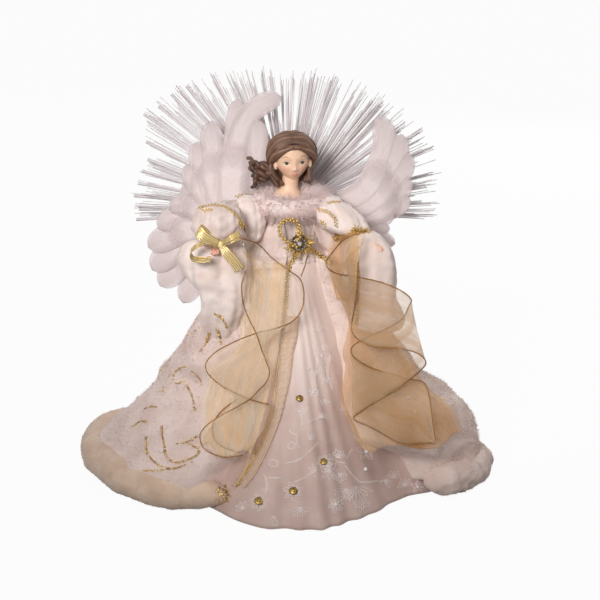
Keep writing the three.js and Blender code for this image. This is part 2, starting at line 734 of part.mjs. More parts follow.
function arm(side, { wire, sleeve, bellRadius, middleRadius, lobes, palm }) {
  const sleeveCurve = curveThrough(...sleeve.map(fromWaist));
  const wireCurve = curveThrough(...wire.map(fromWaist));
  const horn = (grow) =>
    tube(
      sleeveCurve,
      (share) => grow + lerp(
        lerp(sleeveShoulderRadius, middleRadius, smoothstep(share, 0, 0.6)),
        bellRadius, smoothstep(share, 0.6, 1),
      ),
      7, 14,
    );
  const mouth = sleeveCurve.getPointAt(1);
  const aim = sleeveCurve.getTangentAt(1);
  const cupEnds = [mouth.clone().addScaledVector(aim, -bellDepth), mouth.clone().addScaledVector(aim, 5)];
  const cupRadius = (share) => (bellRadius - 2) * lerp(0.75, 1.05, share);
  const cup = tube(new THREE.LineCurve3(...cupEnds), cupRadius, 1, 14);
  const wireBore = tube(wireCurve, () => armWireRadius + clearance, 9, 6);
  const figureRoom = [...bustForms(clearance), bodice(clearance), collar(clearance)];
  addMesh(`${side}_upper_sleeve`, cut(horn(0), cup, wireBore, ...figureRoom), whiteCloth);

  addMesh(`${side}_arm_wire`, cut(tube(wireCurve, () => armWireRadius, 9, 6), ...figureRoom), steel);

  const up = new THREE.Vector3(0, 0, 1);
  const level = aim.clone().cross(up).normalize();
  const steep = level.clone().cross(aim).normalize();
  const rim = mouth.clone().addScaledVector(aim, braidRadius + clearance);
  addMesh(
    `${side}_sleeve_braid`,
    ring(rim, level, steep, bellRadius - braidRadius, bellRadius - braidRadius, braidRadius, 20, 5),
    goldBraid,
  );

  const wrist = wireCurve.getPointAt(1);
  const reach = wireCurve.getTangentAt(1);
  const knuckles = wrist.clone().addScaledVector(reach, palm);
  const fingers = knuckles.clone().addScaledVector(reach, palm * 0.9).add(new THREE.Vector3(0, 0, 1));
  const inward = side === "left" ? -1 : 1;
  const thumb = knuckles.clone().add(new THREE.Vector3(inward * 4, 0, 3));
  const hand = join(
    tube(new THREE.CatmullRomCurve3([wrist.clone().addScaledVector(reach, clearance), knuckles, fingers]),
      (share) => lerp(2.6, 3.6, Math.sin(Math.PI * share)), 6, 10),
    tube(new THREE.CatmullRomCurve3([wrist.clone().lerp(knuckles, 0.6), thumb]), () => 1.5, 2, 8),
  );
  addMesh(`${side}_hand`, hand, resinSkin);

  const handRoom = tube(
    new THREE.CatmullRomCurve3([wrist.clone(), knuckles, fingers.clone().addScaledVector(reach, 4)]),
    () => 6, 3, 8,
  );
  const rimRoom = ring(
    rim, level, steep, bellRadius - braidRadius, bellRadius - braidRadius, braidRadius + clearance, 20, 5,
  );
  const mouthRoom = tube(
    new THREE.LineCurve3(mouth.clone().addScaledVector(aim, -3), mouth.clone().addScaledVector(aim, 9)),
    () => bellRadius + clearance, 1, 14,
  );
  const hanging = join(...lobes.map((lobe) => ellipsoid(...fromWaist(lobe), 12, 8)));
  addMesh(
    `${side}_hanging_sleeve`,
    cut(hanging, horn(clearance), mouthRoom, wireBore, handRoom, rimRoom, skirtCutter, ...figureRoom),
    plush,
  );
}

arm("right", rightArm);
arm("left", leftArm);

// Trim at the waist and the wrist

function brooch() {
  const back = broochY + broochDepth;
  const stemEnd = -bodiceFrontAt(broochX, broochZ) - clearance;
  const stem = barAlongY(broochStemRadius, broochX, broochZ, back - 0.5, stemEnd, 10);
  const claws = Array.from({ length: 8 }, (_, i) => {
    const turn = (2 * Math.PI * i) / 8;
    return barAlongY(
      0.9, broochX + broochRadius * Math.cos(turn), broochZ + broochRadius * Math.sin(turn),
      broochY - 0.6, back, 5,
    );
  });
  const disc = barAlongY(broochRadius, broochX, broochZ, broochY, back, 18);
  const seat = barAlongY(stoneRadius + clearance, broochX, broochZ, broochY - 2, broochY + 1, 14);
  return cut(join(disc, stem, ...claws), seat);
}

function bodiceFrontAt(x, z) {
  const share = (z - torsoBottom) / torsoHeight;
  const halfWidth = lerp(waistHalfWidth, chestHalfWidth, share) + clearance + bodiceThickness;
  const halfDepth = lerp(waistHalfDepth, chestHalfDepth, share) + clearance + bodiceThickness;
  return halfDepth * Math.sqrt(1 - (x / halfWidth) ** 2);
}

function stone() {
  const dome = ellipsoid(broochX, broochY + 1 - clearance, broochZ, stoneRadius, 3, stoneRadius, 12, 8);
  const far = 20;
  const behind = block(
    broochX - far, broochX + far, broochY + 1 - clearance, broochY + far, broochZ - far, broochZ + far,
  );
  return cut(dome, behind);
}

addMesh("brooch_setting", brooch(), silverSetting);
addMesh("brooch_stone", stone(), crystal);

// The braid is tied behind the brooch, round its stem: a loop up over the collar and two tails.
function waistBraid() {
  const round = () => waistBraidRadius;
  const knotY = broochY + broochDepth + clearance + waistBraidRadius;
  const knot = barAlongY(4, broochX, broochZ, knotY - waistBraidRadius, knotY + waistBraidRadius, 14);
  const clear = broochRadius + 1 + clearance + 2 * waistBraidRadius;
  const loop = curveThrough(
    [broochX - 3, knotY, broochZ + 1],
    [broochX - clear, knotY, broochZ + 4],
    [broochX - 16, broochY - 5, broochZ + 13],
    [broochX - 18, broochY - 6, broochZ + 21],
    [broochX - 9, broochY - 6, broochZ + 28],
    [broochX - 1, broochY - 6, broochZ + 21],
    [broochX, broochY - 2, broochZ + 15],
    [broochX, knotY, broochZ + clear],
    [broochX, knotY, broochZ + 2.5],
  );
  const tailDown = [0, 0.5, 1].map((share) => {
    const z = skirtTop - braidTailDrop * share;
    const angle = degToRad(lerp(283, 262, share));
    const grow = organzaOuter(angle, z) + 2.4 + waistBraidRadius;
    return skirtPoint(angle, z, grow).setZ(z + 2 * (1 - share)).toArray();
  });
  return join(
    knot,
    tube(loop, round, 16, 5),
    tube(
      curveThrough([broochX - 1, knotY, broochZ - 2], [broochX - 1, knotY, broochZ - clear], ...tailDown),
      round, 14, 5,
    ),
    tube(
      curveThrough(
        [broochX + 2, knotY, broochZ - 1], [broochX + clear, knotY, broochZ - 3],
        [broochX + 16, broochY - 8, broochZ - 7], [broochX + 22, broochY - 16, broochZ - 10],
      ),
      round, 8, 5,
    ),
  );
}

const stemRoom = barAlongY(broochStemRadius + clearance, broochX, broochZ, broochY, -5, 10);
addMesh("waist_braid", cut(waistBraid(), stemRoom), goldBraid);

// A flat loop of ribbon that starts and ends inside the knot.
function ribbonLoop(knot, out, length, height, spread, width, thickness) {
  const aim = new THREE.Vector3(...out).normalize();
  const breadth = new THREE.Vector3(...spread).normalize();
  const lift = breadth.clone().cross(aim).normalize();
  const middle = (u) => {
    const turn = 2 * Math.PI * lerp(0.07, 0.93, u);
    const share = (1 - Math.cos(turn)) / 2;
    return new THREE.Vector3(...knot)
      .addScaledVector(aim, share * length)
      .addScaledVector(lift, (height / 2) * Math.sin(turn) * Math.sqrt(share));
  };
  const face = (side) => (u, v) => {
    const across = middle(u + 0.01).sub(middle(u - 0.01)).cross(breadth).normalize();
    return middle(u)
      .addScaledVector(across, (side * thickness) / 2)
      .addScaledVector(breadth, (v - 0.5) * width);
  };
  return sheet(face(1), face(-1), 7, 1);
}

function wristBow() {
  const knot = fromWaist(wristBowKnot);
  const depth = [0.25, 1, 0.3];
  const away = (step) => knot.map((place, i) => place + step[i]);
  const tail = (middle, end) => tube(curveThrough(knot, away(middle), away(end)), () => 1.6, 4, 5);
  return join(
    ellipsoid(...knot, 4.2, 4.2, 4.2, 8, 6),
    ribbonLoop(knot, [-20, 0, 11], 23, 13, depth, 9, 0.9),
    ribbonLoop(knot, [20, 0, 9], 22, 12, depth, 9, 0.9),
    ribbonLoop(knot, [-20, 0, -13], 26, 15, depth, 9, 0.9),
    tail([10, -1, -9], [21, 0, -19]),
    tail([-3, -1, -10], [-2, 0, -20]),
  );
}

addMesh("wrist_bow", wristBow(), goldBraid);

// Back plate with its screws

const boltHole = (x, z, radius) => barAlongY(radius + runningGap, x, z, plateFrontY - 1, plateBackY + 1);

function backPlate() {
  const plate = block(
    -plateHalfWidth, plateHalfWidth, plateFrontY, plateBackY,
    plateZ - plateHeight / 2, plateZ + plateHeight / 2,
  );
  const holes = [-1, 1].flatMap((side) => [
    boltHole(side * plateScrewX, plateZ, plateScrewRadius),
    boltHole(side * wingRivetX, wingRivetZ, wingRivetRadius),
  ]);
  return cut(plate, ...holes);
}

function plateScrew(x) {
  return join(
    barAlongY(plateScrewRadius, x, plateZ, plateBackY - plateScrewLength, plateBackY + clearance + 0.5),
    barAlongY(plateScrewHead, x, plateZ, plateBackY + clearance, plateBackY + clearance + 1.6),
  );
}

addMesh("back_plate", backPlate(), whitePlastic);
addMesh("left_plate_screw", plateScrew(plateScrewX), steel);
addMesh("right_plate_screw", plateScrew(-plateScrewX), steel);

// Wings: a card arm on a rivet, with a fan of upper and of lower feathers glued behind it

const cardFrontY = plateBackY + clearance;
const lowerFrontY = cardFrontY + wingCardThickness + clearance;
const upperFrontY = lowerFrontY + featherThickness + featherStep + clearance;

function featherShape(x, z, angle, length, width, bend) {
  const stations = 8;
  const aim = new THREE.Vector2(Math.cos(degToRad(angle)), Math.sin(degToRad(angle)));
  const aside = new THREE.Vector2(-aim.y, aim.x);
  const edge = (share, side) => {
    const half = (width / 2) * Math.pow(Math.sin(Math.PI * (0.15 + 0.85 * share)), 0.75);
    return new THREE.Vector2(x, z)
      .addScaledVector(aim, length * share)
      .addScaledVector(aside, bend * share * share + side * half);
  };
  const outline = [];
  for (let i = 0; i <= stations; i++) outline.push(edge(i / stations, -1));
  for (let i = stations - 1; i >= 0; i--) outline.push(edge(i / stations, 1));
  return new THREE.Shape(outline);
}

function featherFan({ count, from, to, long, short, width, bendFrom, bendTo, root }, frontY) {
  const feathers = Array.from({ length: count }, (_, i) => {
    const share = i / (count - 1);
    const shape = featherShape(
      root[0], wingRivetZ + root[1],
      lerp(from, to, share), lerp(long, short, share), width, lerp(bendFrom, bendTo, share),
    );
    return plateXZ(shape, featherThickness, frontY + (i % 2) * featherStep);
  });
  return join(...feathers);
}

function wingCard() {
  const rivet = new THREE.Vector2(-wingRivetX, wingRivetZ);
  const wrist = new THREE.Vector2(-wingWristX, wingWristZ);
  const along = wrist.clone().sub(rivet).normalize();
  const aside = new THREE.Vector2(-along.y, along.x);
  const outline = [];
  for (let i = 0; i <= 6; i++) {
    const turn = (Math.PI * i) / 6;
    outline.push(
      rivet.clone()
        .addScaledVector(along, -wingCardRoot * Math.sin(turn))
        .addScaledVector(aside, wingCardRoot * Math.cos(turn)),
    );
  }
  for (let i = 0; i <= 6; i++) {
    const turn = (Math.PI * i) / 6;
    outline.push(
      wrist.clone()
        .addScaledVector(along, wingCardTip * Math.sin(turn))
        .addScaledVector(aside, -wingCardTip * Math.cos(turn)),
    );
  }
  const arm = plateXZ(new THREE.Shape(outline), wingCardThickness, cardFrontY);
  const hole = barAlongY(wingRivetRadius + runningGap, -wingRivetX, wingRivetZ, cardFrontY - 1, lowerFrontY + 1);
  return cut(arm, hole);
}

function wingRivet() {
  return join(
    barAlongY(wingRivetRadius, -wingRivetX, wingRivetZ, plateFrontY, lowerFrontY),
    barAlongY(wingRivetRadius + 1.6, -wingRivetX, wingRivetZ, lowerFrontY - 0.01, lowerFrontY + 1.2),
  );
}

function wing(side, { upper, lower }) {
  const group = new THREE.Group();
  group.scale.x = side === "left" ? -1 : 1;
  model.add(group);
  addMesh(`${side}_wing_rivet`, wingRivet(), steel, group);
  addMesh(`${side}_wing_card`, wingCard(), card, group);
  addMesh(`${side}_wing_lower_feathers`, featherFan(lower, lowerFrontY), feather, group);
  addMesh(`${side}_wing_upper_feathers`, featherFan(upper, upperFrontY), feather, group);
}

wing("right", rightWing);
wing("left", leftWing);

// Halo: a fan of fibres set in a comb round a hub

function haloHub() {
  const front = haloY - haloCombThickness / 2;
  return join(
    barAlongY(haloHubRadius, 0, haloZ, front, front + haloCombThickness, 28),
    barAlongY(haloPostRadius, 0, haloZ, plateBackY + clearance, front + 1, 14),
  );
}

const combInner = haloHubRadius + clearance;
const combOuter = combInner + haloCombWidth;
const fanFrom = degToRad(-haloDroop);
const fanTo = Math.PI + degToRad(haloDroop);

// A repeatable number from 0 to 1 for each fibre.
const scatter = (i) => {
  const value = Math.sin(i * 12.9898 + 4.1414) * 43758.5453;
  return value - Math.floor(value);
};

// The comb is an arc with a grid on its outer face; a fine four-sided fibre stands on every cell of it.
function fibreHalo() {
  const points = [];
  const faces = [];
  const place = (turn, reach, y) => points.push(
    new THREE.Vector3(reach * Math.cos(turn), y, haloZ + reach * Math.sin(turn)),
  ) - 1;
  const front = haloY - haloCombThickness / 2;
  const rowY = (row) => front + (haloCombThickness * row) / fibreLayers;
  const outer = [];
  const inner = [];
  for (let i = 0; i <= fibresInLayer; i++) {
    const turn = lerp(fanFrom, fanTo, i / fibresInLayer);
    outer.push(Array.from({ length: fibreLayers + 1 }, (_, row) => place(turn, combOuter, rowY(row))));
    inner.push([place(turn, combInner, front), place(turn, combInner, front + haloCombThickness)]);
  }
  for (let i = 0; i < fibresInLayer; i++) {
    const share = (i + 0.5) / fibresInLayer;
    const tuft = Math.min((Math.floor(i / fibresInTuft) + 0.5) * (fibresInTuft / fibresInLayer), 1);
    const turn = lerp(fanFrom, fanTo, lerp(share, tuft, tuftPull));
    const reach = lerp(haloReach, haloSideReach, Math.abs(Math.cos(turn)));
    for (let row = 0; row < fibreLayers; row++) {
      const tip = place(turn, reach * (1 - 0.07 * scatter(row * 997 + i)), rowY(row + 0.5));
      const cell = [outer[i][row], outer[i][row + 1], outer[i + 1][row + 1], outer[i + 1][row]];
      cell.forEach((corner, k) => faces.push(corner, cell[(k + 1) % 4], tip));
    }
    const [p, q] = [outer[i], outer[i + 1]];
    const [m, n] = [inner[i], inner[i + 1]];
    faces.push(p[0], q[0], n[0], p[0], n[0], m[0]);
    faces.push(p[fibreLayers], m[1], n[1], p[fibreLayers], n[1], q[fibreLayers]);
    faces.push(m[0], n[0], n[1], m[0], n[1], m[1]);
  }
  for (const [p, m, turned] of [[outer[0], inner[0], false], [outer.at(-1), inner.at(-1), true]]) {
    const fan = [m[0], ...p];
    for (let k = 0; k + 1 < fan.length; k++)
      faces.push(...(turned ? [m[1], fan[k], fan[k + 1]] : [m[1], fan[k + 1], fan[k]]));
  }
  return facingOut(points, faces);
}

addMesh("halo_hub", haloHub(), whitePlastic);
addMesh("fibre_halo", fibreHalo(), clearFibre);

// Lamp unit

const boxInnerHalf = (cellCount * 2 * cellRadius + (cellCount + 1) * cellGap) / 2;
const boxHalfWidth = boxInnerHalf + boxWall;
const boxInnerBottom = boxBottom + boxWall;
const boxInnerTop = boxInnerBottom + cellLength + 2 * contactDepth;
const boxTop = boxInnerTop + boxWall;
const cellY = boxFrontY + boxWall + clearance + cellRadius;
const boxBackY = cellY + cellRadius + clearance + cellGap;
const hingeY = boxBackY + clearance + hingeKnuckleRadius;
const hingeZ = boxBottom + hingeKnuckleRadius;
const lipTop = hingeZ + hingeKnuckleRadius;
const coverBottom = lipTop + clearance;
const switchY = (boxFrontY + boxBackY) / 2;
const switchZ = (boxBottom + boxTop) / 2;

const barAlongX = (radius, y, z, from, to, sides = 12) =>
  new THREE.CylinderGeometry(radius, radius, to - from, sides)
    .rotateZ(Math.PI / 2)
    .translate((from + to) / 2, y, z);

function batteryBox() {
  const outside = block(-boxHalfWidth, boxHalfWidth, boxFrontY, boxBackY, boxBottom, boxTop);
  const inside = block(
    -boxInnerHalf, boxInnerHalf, boxFrontY + boxWall, boxBackY - boxWall, boxInnerBottom, boxInnerTop,
  );
  const mouth = block(-boxInnerHalf, boxInnerHalf, boxBackY - boxWall - 1, boxBackY + 1, lipTop, boxInnerTop);
  const lugs = [-1, 1].flatMap((side) => {
    const near = hingeKnuckleLength / 2 + clearance;
    const [x0, x1] = [side * near, side * (near + hingeLugLength)].sort((a, b) => a - b);
    return [
      barAlongX(hingeKnuckleRadius, hingeY, hingeZ, x0, x1),
      block(x0, x1, boxBackY - 0.5, hingeY, boxBottom, lipTop),
    ];
  });
  const bore = barAlongX(hingePinRadius + runningGap, hingeY, hingeZ, -boxHalfWidth - 5, boxHalfWidth + 5);
  const pocketHalf = switchLength / 2 + switchTravel / 2 + runningGap;
  const pocket = block(
    boxHalfWidth - switchPocket, boxHalfWidth + 1,
    switchY - switchWidth / 2 - runningGap, switchY + switchWidth / 2 + runningGap,
    switchZ - pocketHalf, switchZ + pocketHalf,
  );
  return cut(join(outside, ...lugs), inside, mouth, bore, pocket);
}

function batteryCover() {
  const front = boxBackY + clearance;
  const back = front + coverThickness;
  const half = hingeKnuckleLength / 2;
  const plate = block(-boxHalfWidth, boxHalfWidth, front, back, coverBottom, boxTop);
  const strap = block(-half, half, front, back, hingeZ, coverBottom + 1);
  const knuckle = barAlongX(hingeKnuckleRadius, hingeY, hingeZ, -half, half);
  const grip = block(-7, 7, back - 0.5, back + 1.2, boxTop - 6, boxTop - 4);
  const bore = barAlongX(hingePinRadius + runningGap, hingeY, hingeZ, -half - 1, half + 1);
  return cut(join(plate, strap, knuckle, grip), bore);
}

function hingePin() {
  const half = hingeKnuckleLength / 2 + hingeLugLength;
  return barAlongX(hingePinRadius, hingeY, hingeZ, -half, half);
}

function cell(x) {
  const bottom = boxInnerBottom + contactDepth + clearance;
  const body = cellLength - 2 * clearance;
  return join(
    upright(cellRadius, cellRadius, body - 1, x, cellY, bottom, 20),
    upright(1.9, 1.9, 1.5, x, cellY, bottom + body - 1.5, 12),
  );
}

function contactStrip(z, towards) {
  const wallSide = z + towards * clearance;
  const plateSide = wallSide + towards * 0.8;
  const cellSide = z + towards * (contactDepth);
  const [p0, p1] = [wallSide, plateSide].sort((a, b) => a - b);
  const [n0, n1] = [plateSide - towards * 0.2, cellSide].sort((a, b) => a - b);
  return join(
    block(-boxInnerHalf + clearance, boxInnerHalf - clearance, cellY - 4, cellY + 4, p0, p1),
    ...cellPlaces.map((x) => upright(2.2, 2.2, n1 - n0, x, cellY, n0, 12)),
  );
}

const cellPlaces = Array.from(
  { length: cellCount }, (_, i) => (i - (cellCount - 1) / 2) * (2 * cellRadius + cellGap),
);

function boxBracket() {
  const cone = new THREE.LatheGeometry(
    [
      [0, -1], [coneRadiusAt(-1) + clearance, -1],
      [coneRadiusAt(coneHeight) + clearance, coneHeight], [0, coneHeight],
    ].map((p) => new THREE.Vector2(...p)),
    32,
  ).rotateX(Math.PI / 2);
  const height = boxTop - boxBottom;
  return cut(
    block(-12, 12, 10, boxFrontY - clearance, boxBottom + height * 0.2, boxTop - height * 0.2), cone,
  );
}

const lampBottom = boxTop + clearance;
const lampTop = lampBottom + lampHeight;
const lampY = (boxFrontY + boxBackY) / 2;
const ledBottom = lampBottom + 4;

function lampHousing() {
  return cut(
    upright(lampRadius, lampRadius, lampHeight, 0, lampY, lampBottom, 24),
    upright(ledRadius + runningGap, ledRadius + runningGap, lampHeight, 0, lampY, ledBottom - clearance, 16),
  );
}

function led() {
  return join(
    upright(ledRadius, ledRadius, 6, 0, lampY, ledBottom, 16),
    ellipsoid(0, lampY, ledBottom + 6, ledRadius, ledRadius, ledRadius, 16, 8),
  );
}

const ferruleBottom = lampTop + clearance;
const ferruleTop = ferruleBottom + ferruleHeight;

function ferrule() {
  const bore = bundleRadius + clearance;
  return cut(
    upright(ferruleRadius, ferruleRadius, ferruleHeight, 0, lampY, ferruleBottom, 24),
    upright(bore, bore, ferruleHeight + 2, 0, lampY, ferruleBottom - 1, 16),
  );
}

function fibreBundle() {
  const top = haloZ - haloHubRadius - clearance;
  const path = curveThrough(
    [0, lampY, ferruleBottom], [0, lampY, ferruleBottom + ferruleHeight * 0.5], [0, lampY, ferruleTop + 1],
    [0, lampY - 3, lerp(ferruleTop, top, 0.25)],
    [0, lerp(lampY, haloY, 0.75), lerp(ferruleTop, top, 0.6)],
    [0, haloY, top - 8], [0, haloY, top - 4], [0, haloY, top],
  );
  return tube(path, () => bundleRadius, 14, 10);
}

function powerSwitch() {
  const from = boxHalfWidth - switchPocket + runningGap;
  const middle = switchZ - switchTravel / 2;
  return block(
    from, boxHalfWidth + switchProud, switchY - switchWidth / 2, switchY + switchWidth / 2,
    middle - switchLength / 2, middle + switchLength / 2,
  );
}

addMesh("box_bracket", boxBracket(), whitePlastic);
addMesh("battery_box", batteryBox(), whitePlastic);
addMesh("battery_cover", batteryCover(), whitePlastic);
addMesh("cover_hinge_pin", hingePin(), steel);
cellPlaces.forEach((x, i) => addMesh(`cell_${i + 1}`, cell(x), cellSleeve));
addMesh("upper_contact_strip", contactStrip(boxInnerTop, -1), steel);
addMesh("lower_contact_strip", contactStrip(boxInnerBottom, 1), steel);
addMesh("power_switch", powerSwitch(), blackSleeve);
addMesh("lamp_housing", lampHousing(), whitePlastic);
addMesh("lamp_led", led(), clearFibre);
addMesh("fibre_ferrule", ferrule(), steel);
addMesh("fibre_bundle", fibreBundle(), blackSleeve);

export default model;
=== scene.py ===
import math
import random
from math import cos, pi, radians, sin, sqrt, tau

import bmesh
import bpy
from mathutils import Matrix, Vector, noise
from mathutils.bvhtree import BVHTree


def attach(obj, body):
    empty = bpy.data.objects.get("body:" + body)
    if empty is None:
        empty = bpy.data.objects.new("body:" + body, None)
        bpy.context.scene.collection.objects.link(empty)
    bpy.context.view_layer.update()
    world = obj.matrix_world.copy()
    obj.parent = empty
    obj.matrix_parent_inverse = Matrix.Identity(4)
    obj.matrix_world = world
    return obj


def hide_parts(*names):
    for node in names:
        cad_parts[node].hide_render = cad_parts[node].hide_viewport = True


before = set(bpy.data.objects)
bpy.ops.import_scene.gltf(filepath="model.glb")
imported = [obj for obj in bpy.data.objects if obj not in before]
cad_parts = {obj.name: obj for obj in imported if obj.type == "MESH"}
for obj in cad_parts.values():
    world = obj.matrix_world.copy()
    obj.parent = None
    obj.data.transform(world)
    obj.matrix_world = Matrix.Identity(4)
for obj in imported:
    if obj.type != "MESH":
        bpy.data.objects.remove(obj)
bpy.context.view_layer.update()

# The angel faces -Y. "left" and "right" are its own: right is the -X side.
# Everything is modelled in millimetres and scaled to metres in makePiece.
mm = 0.001
print("frame:", len(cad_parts), "nodes")


def addObject(name, data):
    holder = bpy.data.objects.new(name, data)
    bpy.context.collection.objects.link(holder)
    return holder


def lerp(a, b, share):
    return a + (b - a) * share


def ease(x, low, high):
    share = min(max((x - low) / (high - low), 0.0), 1.0)
    return share * share * (3 - 2 * share)


def bump(x, middle, width):
    return math.exp(-(((x - middle) / width) ** 2))


def polar(angle, radius):
    return radius * cos(angle), radius * sin(angle)


# Camera of the photograph, 600 x 600 pixels

photo = dict(size=600, lens=95.6, sensor=36, elevation=15, distance=1200,
             target=(10.1, 0, 139.8), farClip=100)
eyeTurn = Matrix.Rotation(radians(90 - photo["elevation"]), 3, "X")
eyePlace = Vector(photo["target"]) + eyeTurn @ Vector((0, 0, photo["distance"]))


def makeCamera():
    data = bpy.data.cameras.new("photo_camera")
    data.lens = photo["lens"]
    data.sensor_width = photo["sensor"]
    data.clip_end = photo["farClip"]
    camera = addObject("photo_camera", data)
    camera.location = eyePlace * mm
    camera.rotation_euler = eyeTurn.to_euler()
    bpy.context.scene.camera = camera


def eyeRay(px, py):
    focal = photo["size"] * photo["lens"] / photo["sensor"]
    half = photo["size"] / 2
    return (eyeTurn @ Vector(((px - half) / focal, (half - py) / focal, -1))).normalized()


def atDepth(px, py, y):
    ray = eyeRay(px, py)
    return eyePlace + ray * ((y - eyePlace.y) / ray.y)


makeCamera()

# Finishes


def srgb(r, g, b):
    def linear(value):
        value /= 255
        return value / 12.92 if value <= 0.04045 else ((value + 0.055) / 1.055) ** 2.4
    return (linear(r), linear(g), linear(b), 1.0)


def addNode(tree, kind, inputs=None, **settings):
    node = tree.nodes.new("ShaderNode" + kind)
    for name, value in settings.items():
        setattr(node, name, value)
    for name, value in (inputs or {}).items():
        socket = node.inputs[name]
        if isinstance(value, bpy.types.NodeSocket):
            tree.links.new(value, socket)
        else:
            socket.default_value = value
    return node


def startFinish(name, **sockets):
    finish = bpy.data.materials.new(name)
    finish.use_nodes = True
    tree = finish.node_tree
    shader = tree.nodes["Principled BSDF"]
    for socket, value in sockets.items():
        shader.inputs[socket.replace("_", " ")].default_value = value
    return finish, tree, shader


def patternAt(tree, source="Object", scale=(1, 1, 1)):
    place = addNode(tree, "TexCoord")
    return addNode(tree, "Mapping", {"Vector": place.outputs[source], "Scale": scale}).outputs["Vector"]


def speckled(tree, where, size, detail=4.0):
    cloud = addNode(tree, "TexNoise", {"Vector": where, "Scale": 1 / (size * mm), "Detail": detail})
    return cloud.outputs["Fac"]


def reckoned(tree, operation, *values):
    return addNode(tree, "Math", dict(enumerate(values)), operation=operation).outputs["Value"]


def spanned(tree, value, ends, to=(0.0, 1.0), **settings):
    inputs = {"Value": value, "From Min": ends[0], "From Max": ends[1], "To Min": to[0], "To Max": to[1]}
    return addNode(tree, "MapRange", inputs, **settings).outputs["Result"]


def shaded(tree, share, low, high, ends=(0.0, 1.0)):
    node = addNode(tree, "ValToRGB", {"Fac": share})
    for stop, at, colour in zip(node.color_ramp.elements, ends, (low, high)):
        stop.position = at
        stop.color = srgb(*colour)
    return node.outputs["Color"]


def mottled(tree, where, size, low, high):
    return shaded(tree, speckled(tree, where, size), low, high, (0.32, 0.68))


def feed(shader, **sources):
    for socket, source in sources.items():
        shader.id_data.links.new(source, shader.inputs[socket.replace("_", " ")])


def raised(tree, shader, height, distance, strength=1.0, below=None):
    inputs = {"Height": height, "Distance": distance * mm, "Strength": strength}
    if below:
        inputs["Normal"] = below
    normal = addNode(tree, "Bump", inputs).outputs["Normal"]
    feed(shader, Normal=normal)
    return normal


def napped(name, low, high, clump, fibre, height):
    finish, tree, shader = startFinish(name, Roughness=0.95, Sheen_Weight=0.35, Sheen_Roughness=0.6)
    where = patternAt(tree)
    feed(shader, Base_Color=mottled(tree, where, clump * 2.2, low, high))
    tufts = raised(tree, shader, speckled(tree, where, clump, 3.0), height)
    raised(tree, shader, speckled(tree, where, fibre, 5.0), height * 0.45, 0.8, tufts)
    return finish


def woven(name, low, high, thread, height, roughness, alpha=1.0, sheen=0.3, alphaSwing=0.0):
    finish, tree, shader = startFinish(
        name, Roughness=roughness, Sheen_Weight=sheen, Sheen_Roughness=0.4, Alpha=alpha)
    where = patternAt(tree)
    feed(shader, Base_Color=mottled(tree, where, 22, low, high))
    inputs = {"Vector": where, "Scale": 0.31 / (thread * mm), "Distortion": 0.6}
    threads = [addNode(tree, "TexWave", inputs, bands_direction=way).outputs["Fac"] for way in ("X", "Z")]
    raised(tree, shader, reckoned(tree, "MULTIPLY", *threads), height)
    if alphaSwing:
        cloud = speckled(tree, where, 9, 3.0)
        feed(shader, Alpha=spanned(tree, cloud, (0.3, 0.7), (alpha - alphaSwing, alpha + alphaSwing)))
    return finish


def gownPaintedLightFinish():
    # tulle over satin, with painted light: the colour turns whiter above, from 55 to 125 mm up, where the
    # light falls on the top
    finish = woven("gown_tulle_painted_light", (202, 173, 163), (218, 193, 183), 0.9, 0.12, 0.55)
    tree = finish.node_tree
    shader = tree.nodes["Principled BSDF"]
    tinted = shader.inputs["Base Color"].links[0].from_socket
    parts = addNode(tree, "SeparateXYZ", {"Vector": patternAt(tree)})
    # painted light: share of the whiter tone, rising with height
    height = spanned(tree, parts.outputs["Z"], (55 * mm, 125 * mm), interpolation_type="SMOOTHSTEP")
    mix = addNode(tree, "MixRGB", {"Fac": height, "Color1": tinted, "Color2": srgb(244, 224, 216)})
    feed(shader, Base_Color=mix.outputs["Color"])
    return finish


def pleated(name, low, high, sheer, dense, streaks):
    # sheer cloth that thickens in streaks along its length
    finish, tree, shader = startFinish(name, Roughness=0.42, Sheen_Weight=0.3, Sheen_Roughness=0.4)
    where = patternAt(tree, "UV", (streaks, 1.6, 1))
    streaked = addNode(tree, "TexNoise", {"Vector": where, "Scale": 1.0, "Detail": 4.0, "Distortion": 0.4})
    cloud = streaked.outputs["Fac"]
    feed(shader, Alpha=spanned(tree, cloud, (0.36, 0.66), (sheer, dense)),
         Base_Color=shaded(tree, cloud, high, low, (0.35, 0.68)))
    raised(tree, shader, speckled(tree, patternAt(tree), 0.6, 2.0), 0.05)
    return finish


def pitted(name, low, high, patch, grain, height, **sockets):
    finish, tree, shader = startFinish(name, **sockets)
    where = patternAt(tree)
    feed(shader, Base_Color=mottled(tree, where, patch, low, high))
    raised(tree, shader, speckled(tree, where, grain), height)
    return finish


def metal(name, low, high, roughness, grain, height, metallic=1.0):
    return pitted(name, low, high, grain * 3, grain, height, Roughness=roughness, Metallic=metallic)


def moulded(name, low, high, roughness, grain=0.5, height=0.03, **sockets):
    return pitted(name, low, high, 14, grain, height, Roughness=roughness, **sockets)


